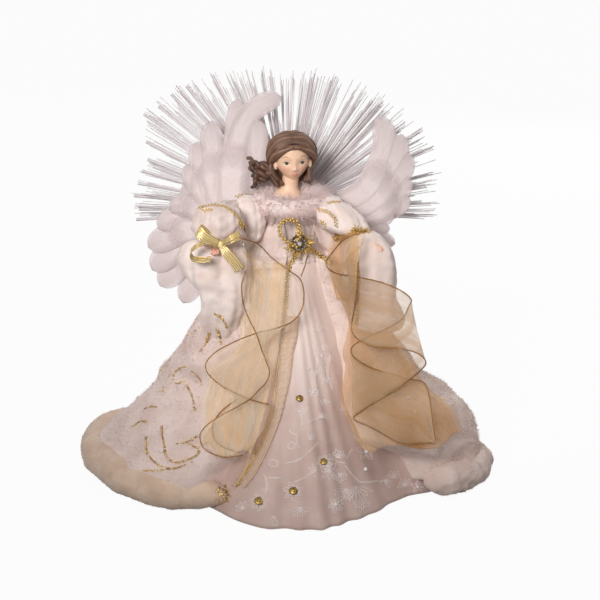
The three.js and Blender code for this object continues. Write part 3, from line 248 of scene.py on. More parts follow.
def featherFinish(name, edgeCover, endCover):
    # barbs slope away from the shaft; the edge and the end thin out
    finish, tree, shader = startFinish(name, Roughness=0.75, Sheen_Weight=0.25)
    parts = addNode(tree, "SeparateXYZ", {"Vector": patternAt(tree, "UV")})
    along = parts.outputs["Y"]
    aside = reckoned(tree, "ABSOLUTE", reckoned(tree, "SUBTRACT", parts.outputs["X"], 0.5))
    slope = reckoned(tree, "MULTIPLY_ADD", aside, -0.55, along)
    raised(tree, shader, reckoned(tree, "SINE", reckoned(tree, "MULTIPLY", slope, 420.0)), 0.05)
    streak = addNode(tree, "CombineXYZ", {"X": aside, "Y": slope}).outputs["Vector"]
    spread = addNode(tree, "VectorMath", {0: streak, 1: (3.0, 13.0, 1.0)}, operation="MULTIPLY")
    cloud = addNode(tree, "TexNoise", {"Vector": spread.outputs["Vector"], "Scale": 1.0, "Detail": 3.0})
    edge = spanned(tree, aside, (0.2, 0.5), (0.96, edgeCover))
    end = spanned(tree, along, (0.6, 1.0), (1.0, endCover))
    feed(shader, Alpha=reckoned(tree, "MULTIPLY", edge, end), Base_Color=shaded(
        tree, cloud.outputs["Fac"], (244, 225, 223), (255, 243, 242), (0.25, 0.7)))
    return finish


def skinFinish():
    finish, tree, shader = startFinish(
        "painted_skin", Roughness=0.42, Subsurface_Weight=0.08, Subsurface_Scale=1.2 * mm)
    tint = addNode(tree, "Attribute", attribute_name="paint").outputs["Color"]
    where = patternAt(tree)
    soft = spanned(tree, speckled(tree, where, 3, 3.0), (0.0, 1.0), (0.94, 1.04))
    shade = addNode(tree, "VectorMath", {0: tint, 1: soft}, operation="MULTIPLY")
    feed(shader, Base_Color=shade.outputs["Vector"])
    raised(tree, shader, speckled(tree, where, 0.5, 3.0), 0.02)
    return finish


def stripedFinish():
    finish, tree, shader = startFinish("striped_gold", Metallic=0.55, Roughness=0.26)
    parts = addNode(tree, "SeparateXYZ", {"Vector": patternAt(tree, "UV")})
    wave = reckoned(tree, "SINE", reckoned(tree, "MULTIPLY", parts.outputs["X"], 31.4))
    feed(shader, Base_Color=shaded(tree, wave, (206, 170, 92), (255, 247, 214)),
         Alpha=spanned(tree, wave, (-0.6, 0.4), (1.0, 0.55)))
    raised(tree, shader, wave, 0.15)
    return finish


def fibreFinish():
    finish, tree, shader = startFinish("clear_fibre", Roughness=0.25, IOR=1.49, Coat_Weight=0.3)
    where = patternAt(tree)
    feed(shader, Base_Color=mottled(tree, where, 20, (228, 216, 217), (247, 240, 241)))
    raised(tree, shader, speckled(tree, where, 2, 2.0), 0.03)
    return finish


plushWhite = napped("plush_white", (222, 198, 188), (240, 220, 213), 9, 1.1, 0.7)
# painted light: a lighter copy of plush_white for the sleeves and puffs up on the figure, where more light
# falls
plushPaintedLight = napped("plush_sleeve_painted_light", (238, 216, 206), (249, 234, 228), 9, 1.1, 0.7)
sherpaWhite = napped("sherpa_white", (220, 195, 184), (242, 222, 212), 7, 1.4, 1.3)
furBeige = napped("fur_beige", (214, 184, 160), (236, 210, 188), 8, 0.9, 0.9)
gownCloth = gownPaintedLightFinish()
whiteCloth = woven("white_cloth", (224, 204, 197), (238, 222, 216), 0.8, 0.1, 0.7)
tulle = woven("sleeve_tulle", (236, 212, 203), (247, 228, 220), 0.9, 0.1, 0.45, 0.86, 0.4, 0.1)
selvageGauze = pleated("selvage_gauze", (222, 187, 152), (247, 224, 200), 0.3, 0.75, 4)
organza = pleated("gold_organza", (252, 206, 146), (255, 240, 210), 0.16, 0.44, 12)
organzaDeep = pleated("gold_organza_deep", (222, 160, 88), (250, 208, 150), 0.16, 0.5, 4)
# painted light and shade: the right ribbon gets a lighter, sheerer copy of the gauze, the left a darker,
# denser copy, as the light falls from the right side
ribbonGauzeLitAndShaded = dict(
    right=pleated("ribbon_gauze", (242, 204, 158), (255, 238, 214), 0.08, 0.32, 4),
    left=pleated("ribbon_gauze_painted_shade", (214, 168, 116), (236, 204, 168), 0.16, 0.46, 4))
wireCopper = metal("ribbon_wire", (122, 84, 38), (160, 116, 60), 0.42, 0.6, 0.08, 0.6)
goldBraid = metal("gold_braid", (170, 136, 66), (226, 196, 122), 0.36, 0.5, 0.12, 0.75)
goldRibbon = metal("gold_ribbon", (206, 172, 96), (250, 234, 176), 0.3, 0.9, 0.1, 0.6)
goldSequin = metal("gold_sequin", (136, 102, 54), (246, 212, 144), 0.26, 1.1, 0.05, 0.65)
buttonGold = metal("button_gold", (104, 84, 40), (186, 156, 84), 0.3, 0.6, 0.1, 0.8)
glitter = metal("gold_glitter", (176, 136, 62), (240, 208, 132), 0.3, 0.25, 0.3, 0.8)
embroidery = moulded("satin_thread", (236, 220, 216), (250, 239, 236), 0.45, 0.25, 0.06,
                      Sheen_Weight=0.3)
pearlSequin = moulded("pearl_sequin", (236, 230, 230), (250, 246, 246), 0.15, 0.8, 0.02,
                       Coat_Weight=0.6)
collarYarn = moulded("eyelash_yarn", (226, 200, 195), (245, 229, 226), 0.5, 0.6, 0.05, Sheen_Weight=0.4)
featherWhite = featherFinish("feather_white", 0.45, 0.8)
featherDown = featherFinish("feather_down", 0.0, 0.0)
skin = skinFinish()
hairBrown = moulded("painted_hair", (76, 50, 36), (114, 80, 60), 0.45, 0.8, 0.12)
hairLight = moulded("painted_hair_light", (108, 76, 56), (144, 108, 84), 0.45, 0.8, 0.12)
hairDark = moulded("painted_hair_ends", (52, 34, 26), (104, 72, 54), 0.45, 0.8, 0.12)
lipRed = moulded("painted_lips", (212, 136, 120), (222, 150, 134), 0.35)
eyeWhite = moulded("painted_eye_white", (236, 226, 218), (244, 236, 230), 0.25)
eyeDark = moulded("painted_eye_dark", (38, 24, 18), (66, 42, 30), 0.2)
browBrown = moulded("painted_brow", (176, 126, 92), (190, 138, 102), 0.5)
clearFibre = fibreFinish()
stripedGold = stripedFinish()
braidSilver = metal("brooch_metal", (58, 44, 28), (150, 122, 78), 0.35, 0.7, 0.15, 0.9)
crystal = moulded("brooch_crystal", (150, 152, 158), (206, 208, 213), 0.06, 1.0, 0.01, Coat_Weight=1.0)
board = moulded("cone_board", (226, 220, 208), (238, 233, 224), 0.85, 0.6, 0.06)
whitePlastic = moulded("white_plastic", (226, 225, 220), (236, 235, 231), 0.4)
corePlastic = moulded("core_plastic", (214, 210, 202), (224, 221, 214), 0.55)
blackPlastic = moulded("black_plastic", (32, 32, 34), (44, 44, 47), 0.5)
steelPlain = metal("steel", (150, 152, 156), (190, 192, 196), 0.3, 0.8, 0.03)
cellGreen = moulded("cell_sleeve", (38, 98, 76), (52, 118, 92), 0.35)
lensClear = moulded("lamp_lens", (226, 228, 230), (240, 241, 242), 0.08, 1.0, 0.01, Coat_Weight=0.8)
print("finishes:", len(bpy.data.materials))

# Mesh helpers


def gridSheet(columns, rows, place, closed=False):
    shape = bmesh.new()
    shape.loops.layers.uv.new("UVMap")
    bmesh.ops.create_grid(shape, x_segments=columns, y_segments=rows, size=0.5, calc_uvs=True)
    for vert in shape.verts:
        vert.co = place(vert.co.x + 0.5, vert.co.y + 0.5)
    if closed:
        bmesh.ops.remove_doubles(shape, verts=shape.verts, dist=1e-3)
    return shape


def makePiece(name, shape, finish, slot, nodes=(), body="figure", turnOut=False, **walls):
    if turnOut:
        bmesh.ops.recalc_face_normals(shape, faces=shape.faces)
    bmesh.ops.scale(shape, vec=(mm, mm, mm), verts=shape.verts)
    mesh = bpy.data.meshes.new(name)
    shape.to_mesh(mesh)
    shape.free()
    return finishPiece(name, mesh, finish, slot, nodes, body, **walls)


def finishPiece(name, mesh, finish, slot, nodes=(), body="figure", wall=0.0, offset=-1.0, levels=0):
    mesh.shade_smooth()
    mesh.materials.append(finish)
    piece = addObject(name, mesh)
    if wall:
        solidify = piece.modifiers.new("wall", "SOLIDIFY")
        solidify.thickness = wall * mm
        solidify.offset = offset
    if levels:
        subdivide = piece.modifiers.new("round", "SUBSURF")
        subdivide.levels = levels
        subdivide.render_levels = levels
    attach(piece, body)
    if nodes:
        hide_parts(*nodes)
    return piece


def clothArea(shape):
    return sum(face.calc_area() for face in shape.faces) * mm * mm


def makeCloth(name, shape, held, restsOn, *finishing, **walls):
    area = clothArea(shape)
    piece = makePiece(name, shape, *finishing, **walls)
    return piece


def addPart(shape, part):
    mesh = bpy.data.meshes.new("part")
    part.to_mesh(mesh)
    part.free()
    shape.from_mesh(mesh)
    bpy.data.meshes.remove(mesh)


def addBall(shape, around, down, matrix=Matrix()):
    bmesh.ops.create_uvsphere(shape, u_segments=around, v_segments=down, radius=1.0, matrix=matrix)


def oval(turn, halfX, halfY, z):
    return Vector((halfX * cos(turn), halfY * sin(turn), z))


def smoothPath(points, steps):
    points = [Vector(p) for p in points]
    out = []
    for i in range(len(points) - 1):
        before = points[i - 1] if i else points[0] * 2 - points[1]
        after = points[i + 2] if i + 2 < len(points) else points[-1] * 2 - points[-2]
        a, b = points[i], points[i + 1]
        for k in range(steps):
            t = k / steps
            out.append(0.5 * (2 * a + (b - before) * t + (2 * before - 5 * a + 4 * b - after) * t * t
                              + (3 * a - before - 3 * b + after) * t ** 3))
    out.append(points[-1])
    return out


# Tubes along many lines, as one mesh. A line is a list of points or of (point, share of the radius).
def strandMesh(name, lines, radius, sides):
    curve = bpy.data.curves.new(name, "CURVE")
    curve.dimensions = "3D"
    curve.bevel_depth = radius * mm
    curve.bevel_resolution = sides
    curve.use_fill_caps = True
    for line in lines:
        spline = curve.splines.new("POLY")
        spline.points.add(len(line) - 1)
        for knot, place in zip(spline.points, line):
            share = 1.0
            if isinstance(place, tuple) and len(place) == 2:
                place, share = place
            knot.co = (place[0] * mm, place[1] * mm, place[2] * mm, 1)
            knot.radius = share
    holder = addObject(name, curve)
    bpy.context.view_layer.update()
    mesh = bpy.data.meshes.new_from_object(holder.evaluated_get(bpy.context.evaluated_depsgraph_get()))
    bpy.data.objects.remove(holder)
    bpy.data.curves.remove(curve)
    mesh.name = name
    mesh.materials.clear()
    merged = bmesh.new()
    merged.from_mesh(mesh)
    bmesh.ops.remove_doubles(merged, verts=merged.verts, dist=1e-7)
    bmesh.ops.recalc_face_normals(merged, faces=merged.faces)
    merged.to_mesh(mesh)
    merged.free()
    return mesh


def strands(name, lines, radius, finish, slot, nodes=(), sides=0):
    return finishPiece(name, strandMesh(name, lines, radius, sides), finish, slot, nodes)


def tapered(points, radii):
    return [(point, lerp(radii[0], radii[1], i / (len(points) - 1))) for i, point in enumerate(points)]


def standing(place, normal, turn):
    across = normal.orthogonal().normalized()
    third = normal.cross(across).normalized()
    spin = Matrix.Rotation(turn, 3, "Z")
    axes = Matrix((across, third, normal.normalized())).transposed() @ spin
    return Matrix.Translation(place) @ axes.to_4x4()


def shaken(rng, *spans):
    return Vector([rng.gauss(*span) for span in spans])


def lumps(x, y, z, size):
    return noise.noise(Vector((x / size, y / size, z / size)))


# Lights, floor

studio = dict(floorHalf=30, floorDrop=0.0004, floorGrey=0.9, floorBounce=0.3, veil=0.95, world=0.42)
lamps = dict(  # places in metres; the key is a gridded softbox aimed at the upper figure
    key=dict(place=(-0.3, -0.85, 0.6), aim=(0, 0, 0.21), size=0.35, energy=0.4, spread=34),
    back=dict(place=(0.7, 1.5, 0.8), aim=(0, 0, 0.14), size=1.2, energy=7, spread=180),
)


def makeStudio():
    world = bpy.data.worlds.new("studio")
    bpy.context.scene.world = world
    world.use_nodes = True
    tree = world.node_tree
    tree.nodes.clear()
    seen = directRays(tree)
    soft = addNode(tree, "Background", {"Color": srgb(255, 250, 248), "Strength": studio["world"]})
    white = addNode(tree, "Background", {"Color": (1, 1, 1, 1), "Strength": 1.0})
    mix = addNode(tree, "MixShader", {0: seen, 1: soft.outputs[0], 2: white.outputs[0]})
    addNode(tree, "OutputWorld", {"Surface": mix.outputs[0]})

    shape = bmesh.new()
    bmesh.ops.create_grid(shape, x_segments=1, y_segments=1, size=studio["floorHalf"])
    mesh = bpy.data.meshes.new("floor")
    shape.to_mesh(mesh)
    shape.free()
    floor = addObject("floor", mesh)
    floor.location.z = -studio["floorDrop"]
    finish = bpy.data.materials.new("floor_white")
    finish.use_nodes = True
    tree = finish.node_tree
    tree.nodes.clear()
    plain, dim = (
        addNode(tree, "BsdfDiffuse", {"Color": (grey, grey, grey, 1)})
        for grey in (studio["floorGrey"], studio["floorBounce"]))
    glow = addNode(tree, "Emission", {"Color": (1, 1, 1, 1), "Strength": 1.0})
    veil = addNode(tree, "MixShader", {0: studio["veil"], 1: plain.outputs[0], 2: glow.outputs[0]})
    mix = addNode(tree, "MixShader", {0: directRays(tree), 1: dim.outputs[0], 2: veil.outputs[0]})
    addNode(tree, "OutputMaterial", {"Surface": mix.outputs[0]})
    mesh.materials.append(finish)

    for name, lamp in lamps.items():
        data = bpy.data.lights.new(name, "AREA")
        data.size = lamp["size"]
        data.energy = lamp["energy"]
        data.spread = radians(lamp["spread"])
        holder = addObject(name, data)
        holder.location = lamp["place"]
        aim = Vector(lamp["aim"]) - Vector(lamp["place"])
        holder.rotation_euler = aim.to_track_quat("-Z", "Y").to_euler()
    bpy.context.scene.view_settings.view_transform = "Standard"


def directRays(tree):
    rays = addNode(tree, "LightPath").outputs
    shine = reckoned(tree, "MAXIMUM", rays["Is Camera Ray"], rays["Is Glossy Ray"])
    return reckoned(tree, "MAXIMUM", shine, rays["Is Transmission Ray"])


makeStudio()
print("studio: camera, floor and lights")

# Skirt surface, shared by the gown, plush, rolls and organza. Angles: 0 left, 90 back, 180 right, 270 front.

skirt = dict(
    top=176, hemHalfWidth=158, hemFront=107, hemFrontRight=88, hemFrontLeft=58, hemBack=70,
    frontStart=241, frontEnd=318, waistHalfWidth=27, waistHalfDepth=22, trainSweep=30, flarePower=1.25,
    gownThickness=1.6, foldDepth=2.6, folds=18, layerGap=1.6, plushThickness=5, plushLump=1.4,
    plushLift=13, rightLiftTop=88, leftLiftTop=130, rollRadius=12, rollMargin=4.5, clearance=0.3,
    organzaFold=1.2, organzaWaves=20, frontTuck=5, slackBelow=8, ventHalfWidth=31,
    ventTopHalfWidth=9, ventFrom=92, ventTo=145,
)
hemFrontSides = (skirt["hemFrontRight"] + skirt["hemFrontLeft"]) / 2
frontReach = skirt["hemFront"] - hemFrontSides + skirt["trainSweep"] / 2
rollRoom = 2 * skirt["rollRadius"] + skirt["gownThickness"] + skirt["clearance"] + skirt["rollMargin"]
gownHemHalfWidth = skirt["waistHalfWidth"] + (
    (skirt["hemHalfWidth"] - rollRoom - skirt["waistHalfWidth"])
    / (1 - skirt["rollRadius"] / skirt["top"]) ** skirt["flarePower"])
plushBottom = 2 * skirt["rollRadius"] + 2 * skirt["clearance"]


def openAt(z):
    return max(1 - z / skirt["top"], 0.0) ** skirt["flarePower"]


def frontShare(angle):
    share = (math.degrees(angle) - skirt["frontStart"]) / (skirt["frontEnd"] - skirt["frontStart"])
    return ease(share, 0, 0.42) * (1 - ease(share, 0.58, 1))


def skirtPoint(angle, z, grow, foldSize=1.0):
    opened = openAt(z)
    leftShare = ease((1 + cos(angle)) / 2, 0, 1)
    sweep = skirt["trainSweep"] * (1 - leftShare) * opened
    hemDepth = skirt["hemBack"]
    if sin(angle) < 0:
        hemDepth = lerp(skirt["hemFrontRight"], skirt["hemFrontLeft"], leftShare)
    front = frontShare(angle)
    fold = foldSize * skirt["foldDepth"] * opened * (0.15 + 0.85 * front) * cos(skirt["folds"] * angle)
    halfWidth = lerp(skirt["waistHalfWidth"], gownHemHalfWidth, opened) + fold + grow
    halfDepth = lerp(skirt["waistHalfDepth"], hemDepth, opened) + frontReach * front * opened + fold + grow
    return Vector((halfWidth * cos(angle), sweep + halfDepth * sin(angle), z))


def ventAngle(z, grow):
    half = lerp(skirt["ventHalfWidth"], skirt["ventTopHalfWidth"],
                ease(z, skirt["ventFrom"], skirt["ventTo"]))
    return math.asin(half / skirtPoint(0, z, grow).x)


def rightBack(z, grow):
    return pi / 2 + ventAngle(z, grow)


def leftBack(z, grow):
    return 2.5 * pi - ventAngle(z, grow)


def looseness(z):
    return ease(skirt["top"] - z, 0, skirt["slackBelow"])


def layerGapAt(z):
    return lerp(1.5 * skirt["clearance"], skirt["layerGap"], looseness(z))


def plushInner(angle, z):
    liftTop = lerp(skirt["rightLiftTop"], skirt["leftLiftTop"], ease(cos(angle), -0.3, 0.3))
    lift = skirt["plushLift"] * (1 - ease(z, plushBottom, liftTop)) * (1 - frontShare(angle))
    return skirt["gownThickness"] + layerGapAt(z) + lift


def organzaGrow(angle, z):
    wave = skirt["organzaFold"] * openAt(z) * (1 + sin(skirt["organzaWaves"] * angle + 2))
    plush = plushInner(angle, z) + skirt["plushThickness"] + skirt["plushLump"] * looseness(z)
    return plush + layerGapAt(z) + wave


rightFrontEdge = radians(skirt["frontStart"] + skirt["frontTuck"])
leftFrontEdge = radians(skirt["frontEnd"] - skirt["frontTuck"])
surfaces = []  # what ribbons, sequins and stitches lie on


def keepSurface(shape):
    surfaces.append(BVHTree.FromBMesh(shape))


def castDown(px, py, only=None, fallback=-60.0):
    ray = eyeRay(px, py)
    best = None
    for tree in only or surfaces:
        place, normal, _, far = tree.ray_cast(eyePlace, ray)
        if place and (best is None or far < best[2]):
            best = (place, normal if normal.dot(ray) < 0 else -normal, far)
    if best is None:
        place = atDepth(px, py, fallback)
        best = (place, -ray, (place - eyePlace).length)
    return best


# Gown

gown = dict(columns=260, rows=60, crowd=0.11, scallop=0.5, scallops=30, scallopTop=20, wrinkle=0.9,
            wrinkles=43, soft=1.3, softSize=9, lowest=0.3, wall=1, spread=70,
            swept=[(radians(254), 0.24, 13), (radians(298), 0.24, -4)])


def gownPlace(u, v):
    z = skirt["top"] * v
    pace = u + gown["crowd"] * sin(tau * u)
    angle = lerp(rightBack(z, 0), leftBack(z, 0), pace)
    opened = openAt(z)
    ripple = sin(gown["wrinkles"] * angle + 3 * sin(5 * angle))
    crease = gown["wrinkle"] * opened * ripple * (0.3 + frontShare(angle))
    soft = gown["soft"] * opened * lumps(angle * 40, z * 0.25, 3.0, gown["softSize"])
    swept = sum(far * bump(angle, at, wide) for at, wide, far in gown["swept"])
    soft += swept * (1 - ease(z, 0, gown["spread"]))
    point = skirtPoint(angle, z, skirt["gownThickness"] + crease + soft)
    arch = (1 - abs(sin(gown["scallops"] / 2 * angle))) ** 1.5
    point.z += gown["scallop"] * arch * (1 - ease(z, 0, gown["scallopTop"]))
    point.z = max(point.z, gown["lowest"])
    return point


shape = gridSheet(gown["columns"], gown["rows"], gownPlace)
keepSurface(shape)
gownSurface = surfaces[-1]
gownArea = clothArea(shape)
gownPiece = makePiece("gown", shape, gownCloth, "gown_cloth", ["gown_skirt"], wall=gown["wall"])
print("gown:", round(gownArea, 4), "m2")

# Plush cloak panels: softly heaped on the right side, lumpier on the left

cloak = dict(
    columns=84, rows=56, wall=4.4, sag=2.6, heap=5, flush=2.4, tuckTurn=0.2, ventGrow=8, corner=8,
    lump=dict(right=1.8, left=2.6), lumpSizes=(17, 8), heapSize=24, hemSize=13, hemTop=75,
    hemLump=dict(right=0, left=7), below=dict(right=3, left=14),
    finish=dict(right=plushWhite, left=sherpaWhite), hairs=9600, hairLength=1.7, seed=dict(right=17, left=18))
swells = dict(  # mm outward: reach, then middle and half height, or for left where it fades
    right=(10, 98, 46), left=(18, 62, 84), leftTop=(13, 98, 36), rightHem=6, hemTop=62,
    floorShare=0.1, floorRange=(16, 48), pool=12, poolAt=radians(234), poolWide=radians(30), poolTop=90)
frontEdges = dict(  # height and degrees from the solid's front edge
    right=[(10, 4), (24, 6), (40, 9), (60, 10), (90, 5), (130, 0), (176, 0)],
    left=[(24, 3), (50, -11), (75, -13), (105, -5), (130, 0), (176, 4)])


def alongRun(run, at):
    for (x0, y0), (x1, y1) in zip(run, run[1:]):
        if at <= x1:
            return lerp(y0, y1, ease(at, x0, x1))
    return run[-1][1]


def poolAt(angle):
    return swells["pool"] * bump(angle, swells["poolAt"], swells["poolWide"])


def cloakSwell(angle, z):
    right, left, top = swells["right"], swells["left"], swells["leftTop"]
    swell = right[0] * ease(-cos(angle), 0.2, 0.9) * bump(z, right[1], right[2])
    low = lerp(swells["floorShare"], 1.0, ease(z, *swells["floorRange"]))
    leftward = ease(cos(angle), 0.3, 0.9)
    swell += left[0] * leftward * (1 - ease(z, left[1], left[2])) * low
    swell += top[0] * leftward * bump(z, top[1], top[2])
    hem = 1 - ease(z, plushBottom, swells["hemTop"])
    swell += swells["rightHem"] * ease(-cos(angle), 0.3, 0.8) * hem
    return swell + poolAt(angle) * (1 - ease(z, plushBottom, swells["poolTop"]))


def frontEdge(side, z):
    plain = rightFrontEdge if side == "right" else leftFrontEdge
    return plain + radians(alongRun(frontEdges[side], z))


def plushPlace(side):
    coarse, fine = cloak["lumpSizes"]

    def place(u, v):
        reach = cloak["below"][side]
        if side == "right":
            reach += cloak["corner"] * ease(u, 0.8, 1)
        z = lerp(plushBottom - reach, skirt["top"], v)
        front = frontEdge(side, z)
        if side == "right":
            angle = lerp(rightBack(z, cloak["ventGrow"]), front, u)
        else:
            angle = lerp(front, leftBack(z, cloak["ventGrow"]), u)
        loose = looseness(z)
        waves = skirt["plushLump"] * loose * sin(9 * angle + z / 9) * sin(z / 13)
        grow = plushInner(angle, max(z, plushBottom)) + skirt["plushThickness"] + waves
        base = skirtPoint(angle, z, grow)
        heap = lumps(*base, coarse) + 0.6 * lumps(*base, fine)
        sag = cloak["sag"] * openAt(z) * loose * sin(6.5 * angle - z / 34)
        hem = cloak["hemLump"][side] * (1 - ease(z, plushBottom, cloak["hemTop"]))
        hem *= abs(lumps(*base, cloak["hemSize"]))
        big = cloak["heap"] * ease(-cos(angle), 0.2, 0.9) * loose * lumps(*base, cloak["heapSize"])
        grow += sag + cloakSwell(angle, z) + big + cloak["lump"][side] * loose * heap + hem
        near = 1 - ease(abs(angle - front), 0, cloak["tuckTurn"])
        return skirtPoint(angle, z, lerp(grow, cloak["flush"], near * near))
    return place


plushPieces, cloakPlaces = {}, {}
for side in ("right", "left"):
    cloakPlaces[side] = plushPlace(side)
    shape = gridSheet(cloak["columns"], cloak["rows"], cloakPlaces[side])
    keepSurface(shape)
    plushPieces[side] = makeCloth(
        side + "_cloak", shape, "draped", [gownPiece], cloak["finish"][side], "white_plush",
        [side + "_plush_panel"], wall=cloak["wall"], levels=1)
print("cloak: two panels")

# Rolled fur hems

roll = dict(
    sunk=3, plump=0.2, swept=9, steps=150, sides=28, lump=1.1, leftLump=2.6, lumpSizes=(14, 6),
    lowest=0.4, endPace=(22, 15), foldSize=0.4, ventGrow=13, edgeAt=24, hairs=5200, hairLength=3.2,
    seed=dict(right=7, left=8))
nap = dict(radius=0.16, lean=0.8, droop=0.25, bendAt=0.55, sunk=0.5, lowest=0.3, thick=(1, 0.75, 0.15))


def rollPlace(fromAngle, toAngle, lump):
    radius = skirt["rollRadius"]
    grow = skirt["gownThickness"] + skirt["clearance"] + skirt["rollMargin"] + radius
    coarse, fine = roll["lumpSizes"]

    def middleAt(angle):
        return skirtPoint(angle, radius, grow, roll["foldSize"])

    def place(u, v):
        angle = lerp(fromAngle, toAngle, u)
        middle = middleAt(angle)
        along = middleAt(angle + 0.01) - middleAt(angle - 0.01)
        outward = Vector((along.y, -along.x, 0)).normalized()
        turn = tau * v
        tip = min(u, 1 - u) * lerp(*roll["endPace"], ease(-sin(angle), 0.2, 0.6))
        thick = radius * sqrt(max(1 - (1 - min(tip, 1)) ** 2, 0))
        plump = roll["plump"] * ease(-cos(angle), 0.5, 1.0)
        thick *= 1 + plump
        swept = roll["swept"] * plump / roll["plump"]
        middle = middle + outward * plump * radius + Vector((0, swept, plump * radius))
        middle += outward * (poolAt(angle) * (1 - ease(u, 0.9, 1)) - roll["sunk"] * (1 - min(tip, 1)))
        spot = middle + outward * cos(turn) * thick + Vector((0, 0, sin(turn) * thick))
        heap = lumps(*spot, coarse) + 0.7 * lumps(*spot, fine)
        spot += (spot - middle) * (lump / radius) * heap
        spot.z = max(spot.z, roll["lowest"])
        return spot
    return place


def furHairs(name, place, count, finish, slot, seed, reach, radial=False):
    rng = random.Random(seed)
    lines = []
    for _ in range(count):
        u, v = rng.uniform(0.01, 0.99), rng.uniform(0, 1)
        root = place(u, v)
        if root.z < 1.0:
            continue
        out = (place(u, v + 0.004) - root).cross(place(min(u + 0.004, 1), v) - root)
        if out.length == 0:
            continue
        out.normalize()
        if radial and out.dot(Vector((root.x, root.y, 0))) < 0:
            out.negate()
        lean = shaken(rng, (0, 0.5), (0, 0.5), (-0.25, 0.4))
        aim = (out + lean * nap["lean"]).normalized()
        long = reach * rng.uniform(0.6, 1.2)
        tip = root + aim * long + Vector((0, 0, -nap["droop"] * long))
        bend = root + aim * long * nap["bendAt"]
        for spot in (tip, bend):
            spot.z = max(spot.z, nap["lowest"])
        lines.append(list(zip((root - out * nap["sunk"], bend, tip), nap["thick"])))
    strands(name, lines, nap["radius"], finish, slot)


for side, fromAngle, toAngle, lump, finish, slotName in (
    ("right", rightBack(skirt["rollRadius"], roll["ventGrow"]), frontEdge("right", roll["edgeAt"]),
     roll["lump"], furBeige, "beige_fur"),
    ("left", frontEdge("left", roll["edgeAt"]), leftBack(skirt["rollRadius"], roll["ventGrow"]),
     roll["leftLump"], sherpaWhite, "white_plush"),
):
    place = rollPlace(fromAngle, toAngle, lump)
    shape = gridSheet(roll["steps"], roll["sides"], place, closed=True)
    keepSurface(shape)
    hem = makePiece(side + "_hem_roll", shape, finish, slotName, [side + "_fur_hem"], turnOut=True)
    furHairs(side + "_hem_nap", place, roll["hairs"], finish, slotName, roll["seed"][side],
             roll["hairLength"])
    furHairs(side + "_cloak_nap", cloakPlaces[side], cloak["hairs"], cloak["finish"][side], "white_plush",
             cloak["seed"][side], cloak["hairLength"], radial=True)
print("hem rolls and nap")

# Organza overskirts

overskirt = dict(
    right=dict(outer=[(40, 242.5), (50, 241), (82, 232.4), (98, 231), (108, 240), (122, 241), (150, 231),
                      (176, 224)],
               topInner=270, hemInner=258, bottom=46),
    left=dict(outer=[(40, 299), (60, 296), (80, 295), (108, 302), (140, 319), (176, 330)], topInner=357,
              hemInner=334, bottom=46),
    columns=90, rows=60, wall=0.3, hemWave=3.5, pleat=1.1, pleats=46, proud=1.2,
    finish=dict(right=organza, left=organzaDeep),
)


def organzaPlace(edges):
    def place(u, v):
        hemWave = overskirt["hemWave"] * sin(9 * u) * (1 - v) ** 3
        z = lerp(edges["bottom"], skirt["top"], v) + hemWave
        share = (z - edges["bottom"]) / (skirt["top"] - edges["bottom"])
        outer = radians(alongRun(edges["outer"], z))
        inner = radians(lerp(edges["hemInner"], edges["topInner"], share))
        angle = lerp(outer, inner, u)
        wave = sin(overskirt["pleats"] * angle + 2.5 * sin(7 * angle))
        pleat = overskirt["pleat"] * openAt(z) * wave + 0.5
        return skirtPoint(angle, z, organzaGrow(angle, z) + cloakSwell(angle, z) + pleat + overskirt["proud"])
    return place


for side in ("right", "left"):
    shape = gridSheet(overskirt["columns"], overskirt["rows"], organzaPlace(overskirt[side]))
    keepSurface(shape)
    makeCloth(
        side + "_overskirt", shape, "gathered", [plushPieces[side]], overskirt["finish"][side],
        "gold_organza", [side + "_organza_panel"], wall=overskirt["wall"])
print("overskirts")

# Tubes with their own section: frames along a path, and a sheet wrapped round it


def framesAlong(points):
    frames = []
    normal = None
    for i, point in enumerate(points):
        tangent = (points[min(i + 1, len(points) - 1)] - points[max(i - 1, 0)]).normalized()
        if normal is None:
            normal = tangent.cross(Vector((0, 0, 1))).normalized()
        normal = (normal - tangent * normal.dot(tangent)).normalized()
        frames.append((point, normal, tangent.cross(normal)))
    return frames


def wrapped(points, radiusAt, columns):
    frames = framesAlong(points)
    last = len(points) - 1

    def place(u, v):
        point, normal, side = frames[round(v * last)]
        across, up = polar(tau * u, radiusAt(u, v))
        return point + normal * across + side * up
    return gridSheet(columns, last, place, closed=True)


def lifted(points):
    return [Vector((x, y, skirt["top"] + z)) for x, y, z in points]


def walk(points, spacing):
    travelled = 0.0
    for a, b in zip(points, points[1:]):
        step = (b - a).length
        while travelled <= step and step > 0:
            yield a + (b - a) * (travelled / step), a, b
            travelled += spacing
        travelled -= step


def beadChain(shape, points, kind):
    for count, (spot, a, b) in enumerate(walk(points, kind["spacing"])):
        aside = (b - a).cross(eyePlace - a).normalized() * kind["swing"] * (1 if count % 2 else -1)
        bmesh.ops.create_icosphere(
            shape, subdivisions=1, radius=kind["bead"], matrix=Matrix.Translation(spot + aside))


def pixelPath(points, steps):
    return [(p.x, p.y) for p in smoothPath([(x, y, 0) for x, y in points], steps)]


def castLine(points, steps, *surface):
    return [castDown(px, py, *surface) for px, py in pixelPath(points, steps)]


def laidLine(points, steps, lift, *surface):
    return [place + normal * lift for place, normal, _ in castLine(points, steps, *surface)]


# Bodice and waist band

bodiceSize = dict(waist=(22.3, 16.3), chest=(26.3, 16.3), bottom=174.6, top=203, gather=0.5, gathers=30,
                  neckFrom=196, neckTo=204, neckIn=0.22, wall=1.6)
waistTape = dict(bottom=170.8, top=175.6, halfX=25.6, halfY=20.4, ripple=0.35, ripples=48, wall=0.8)


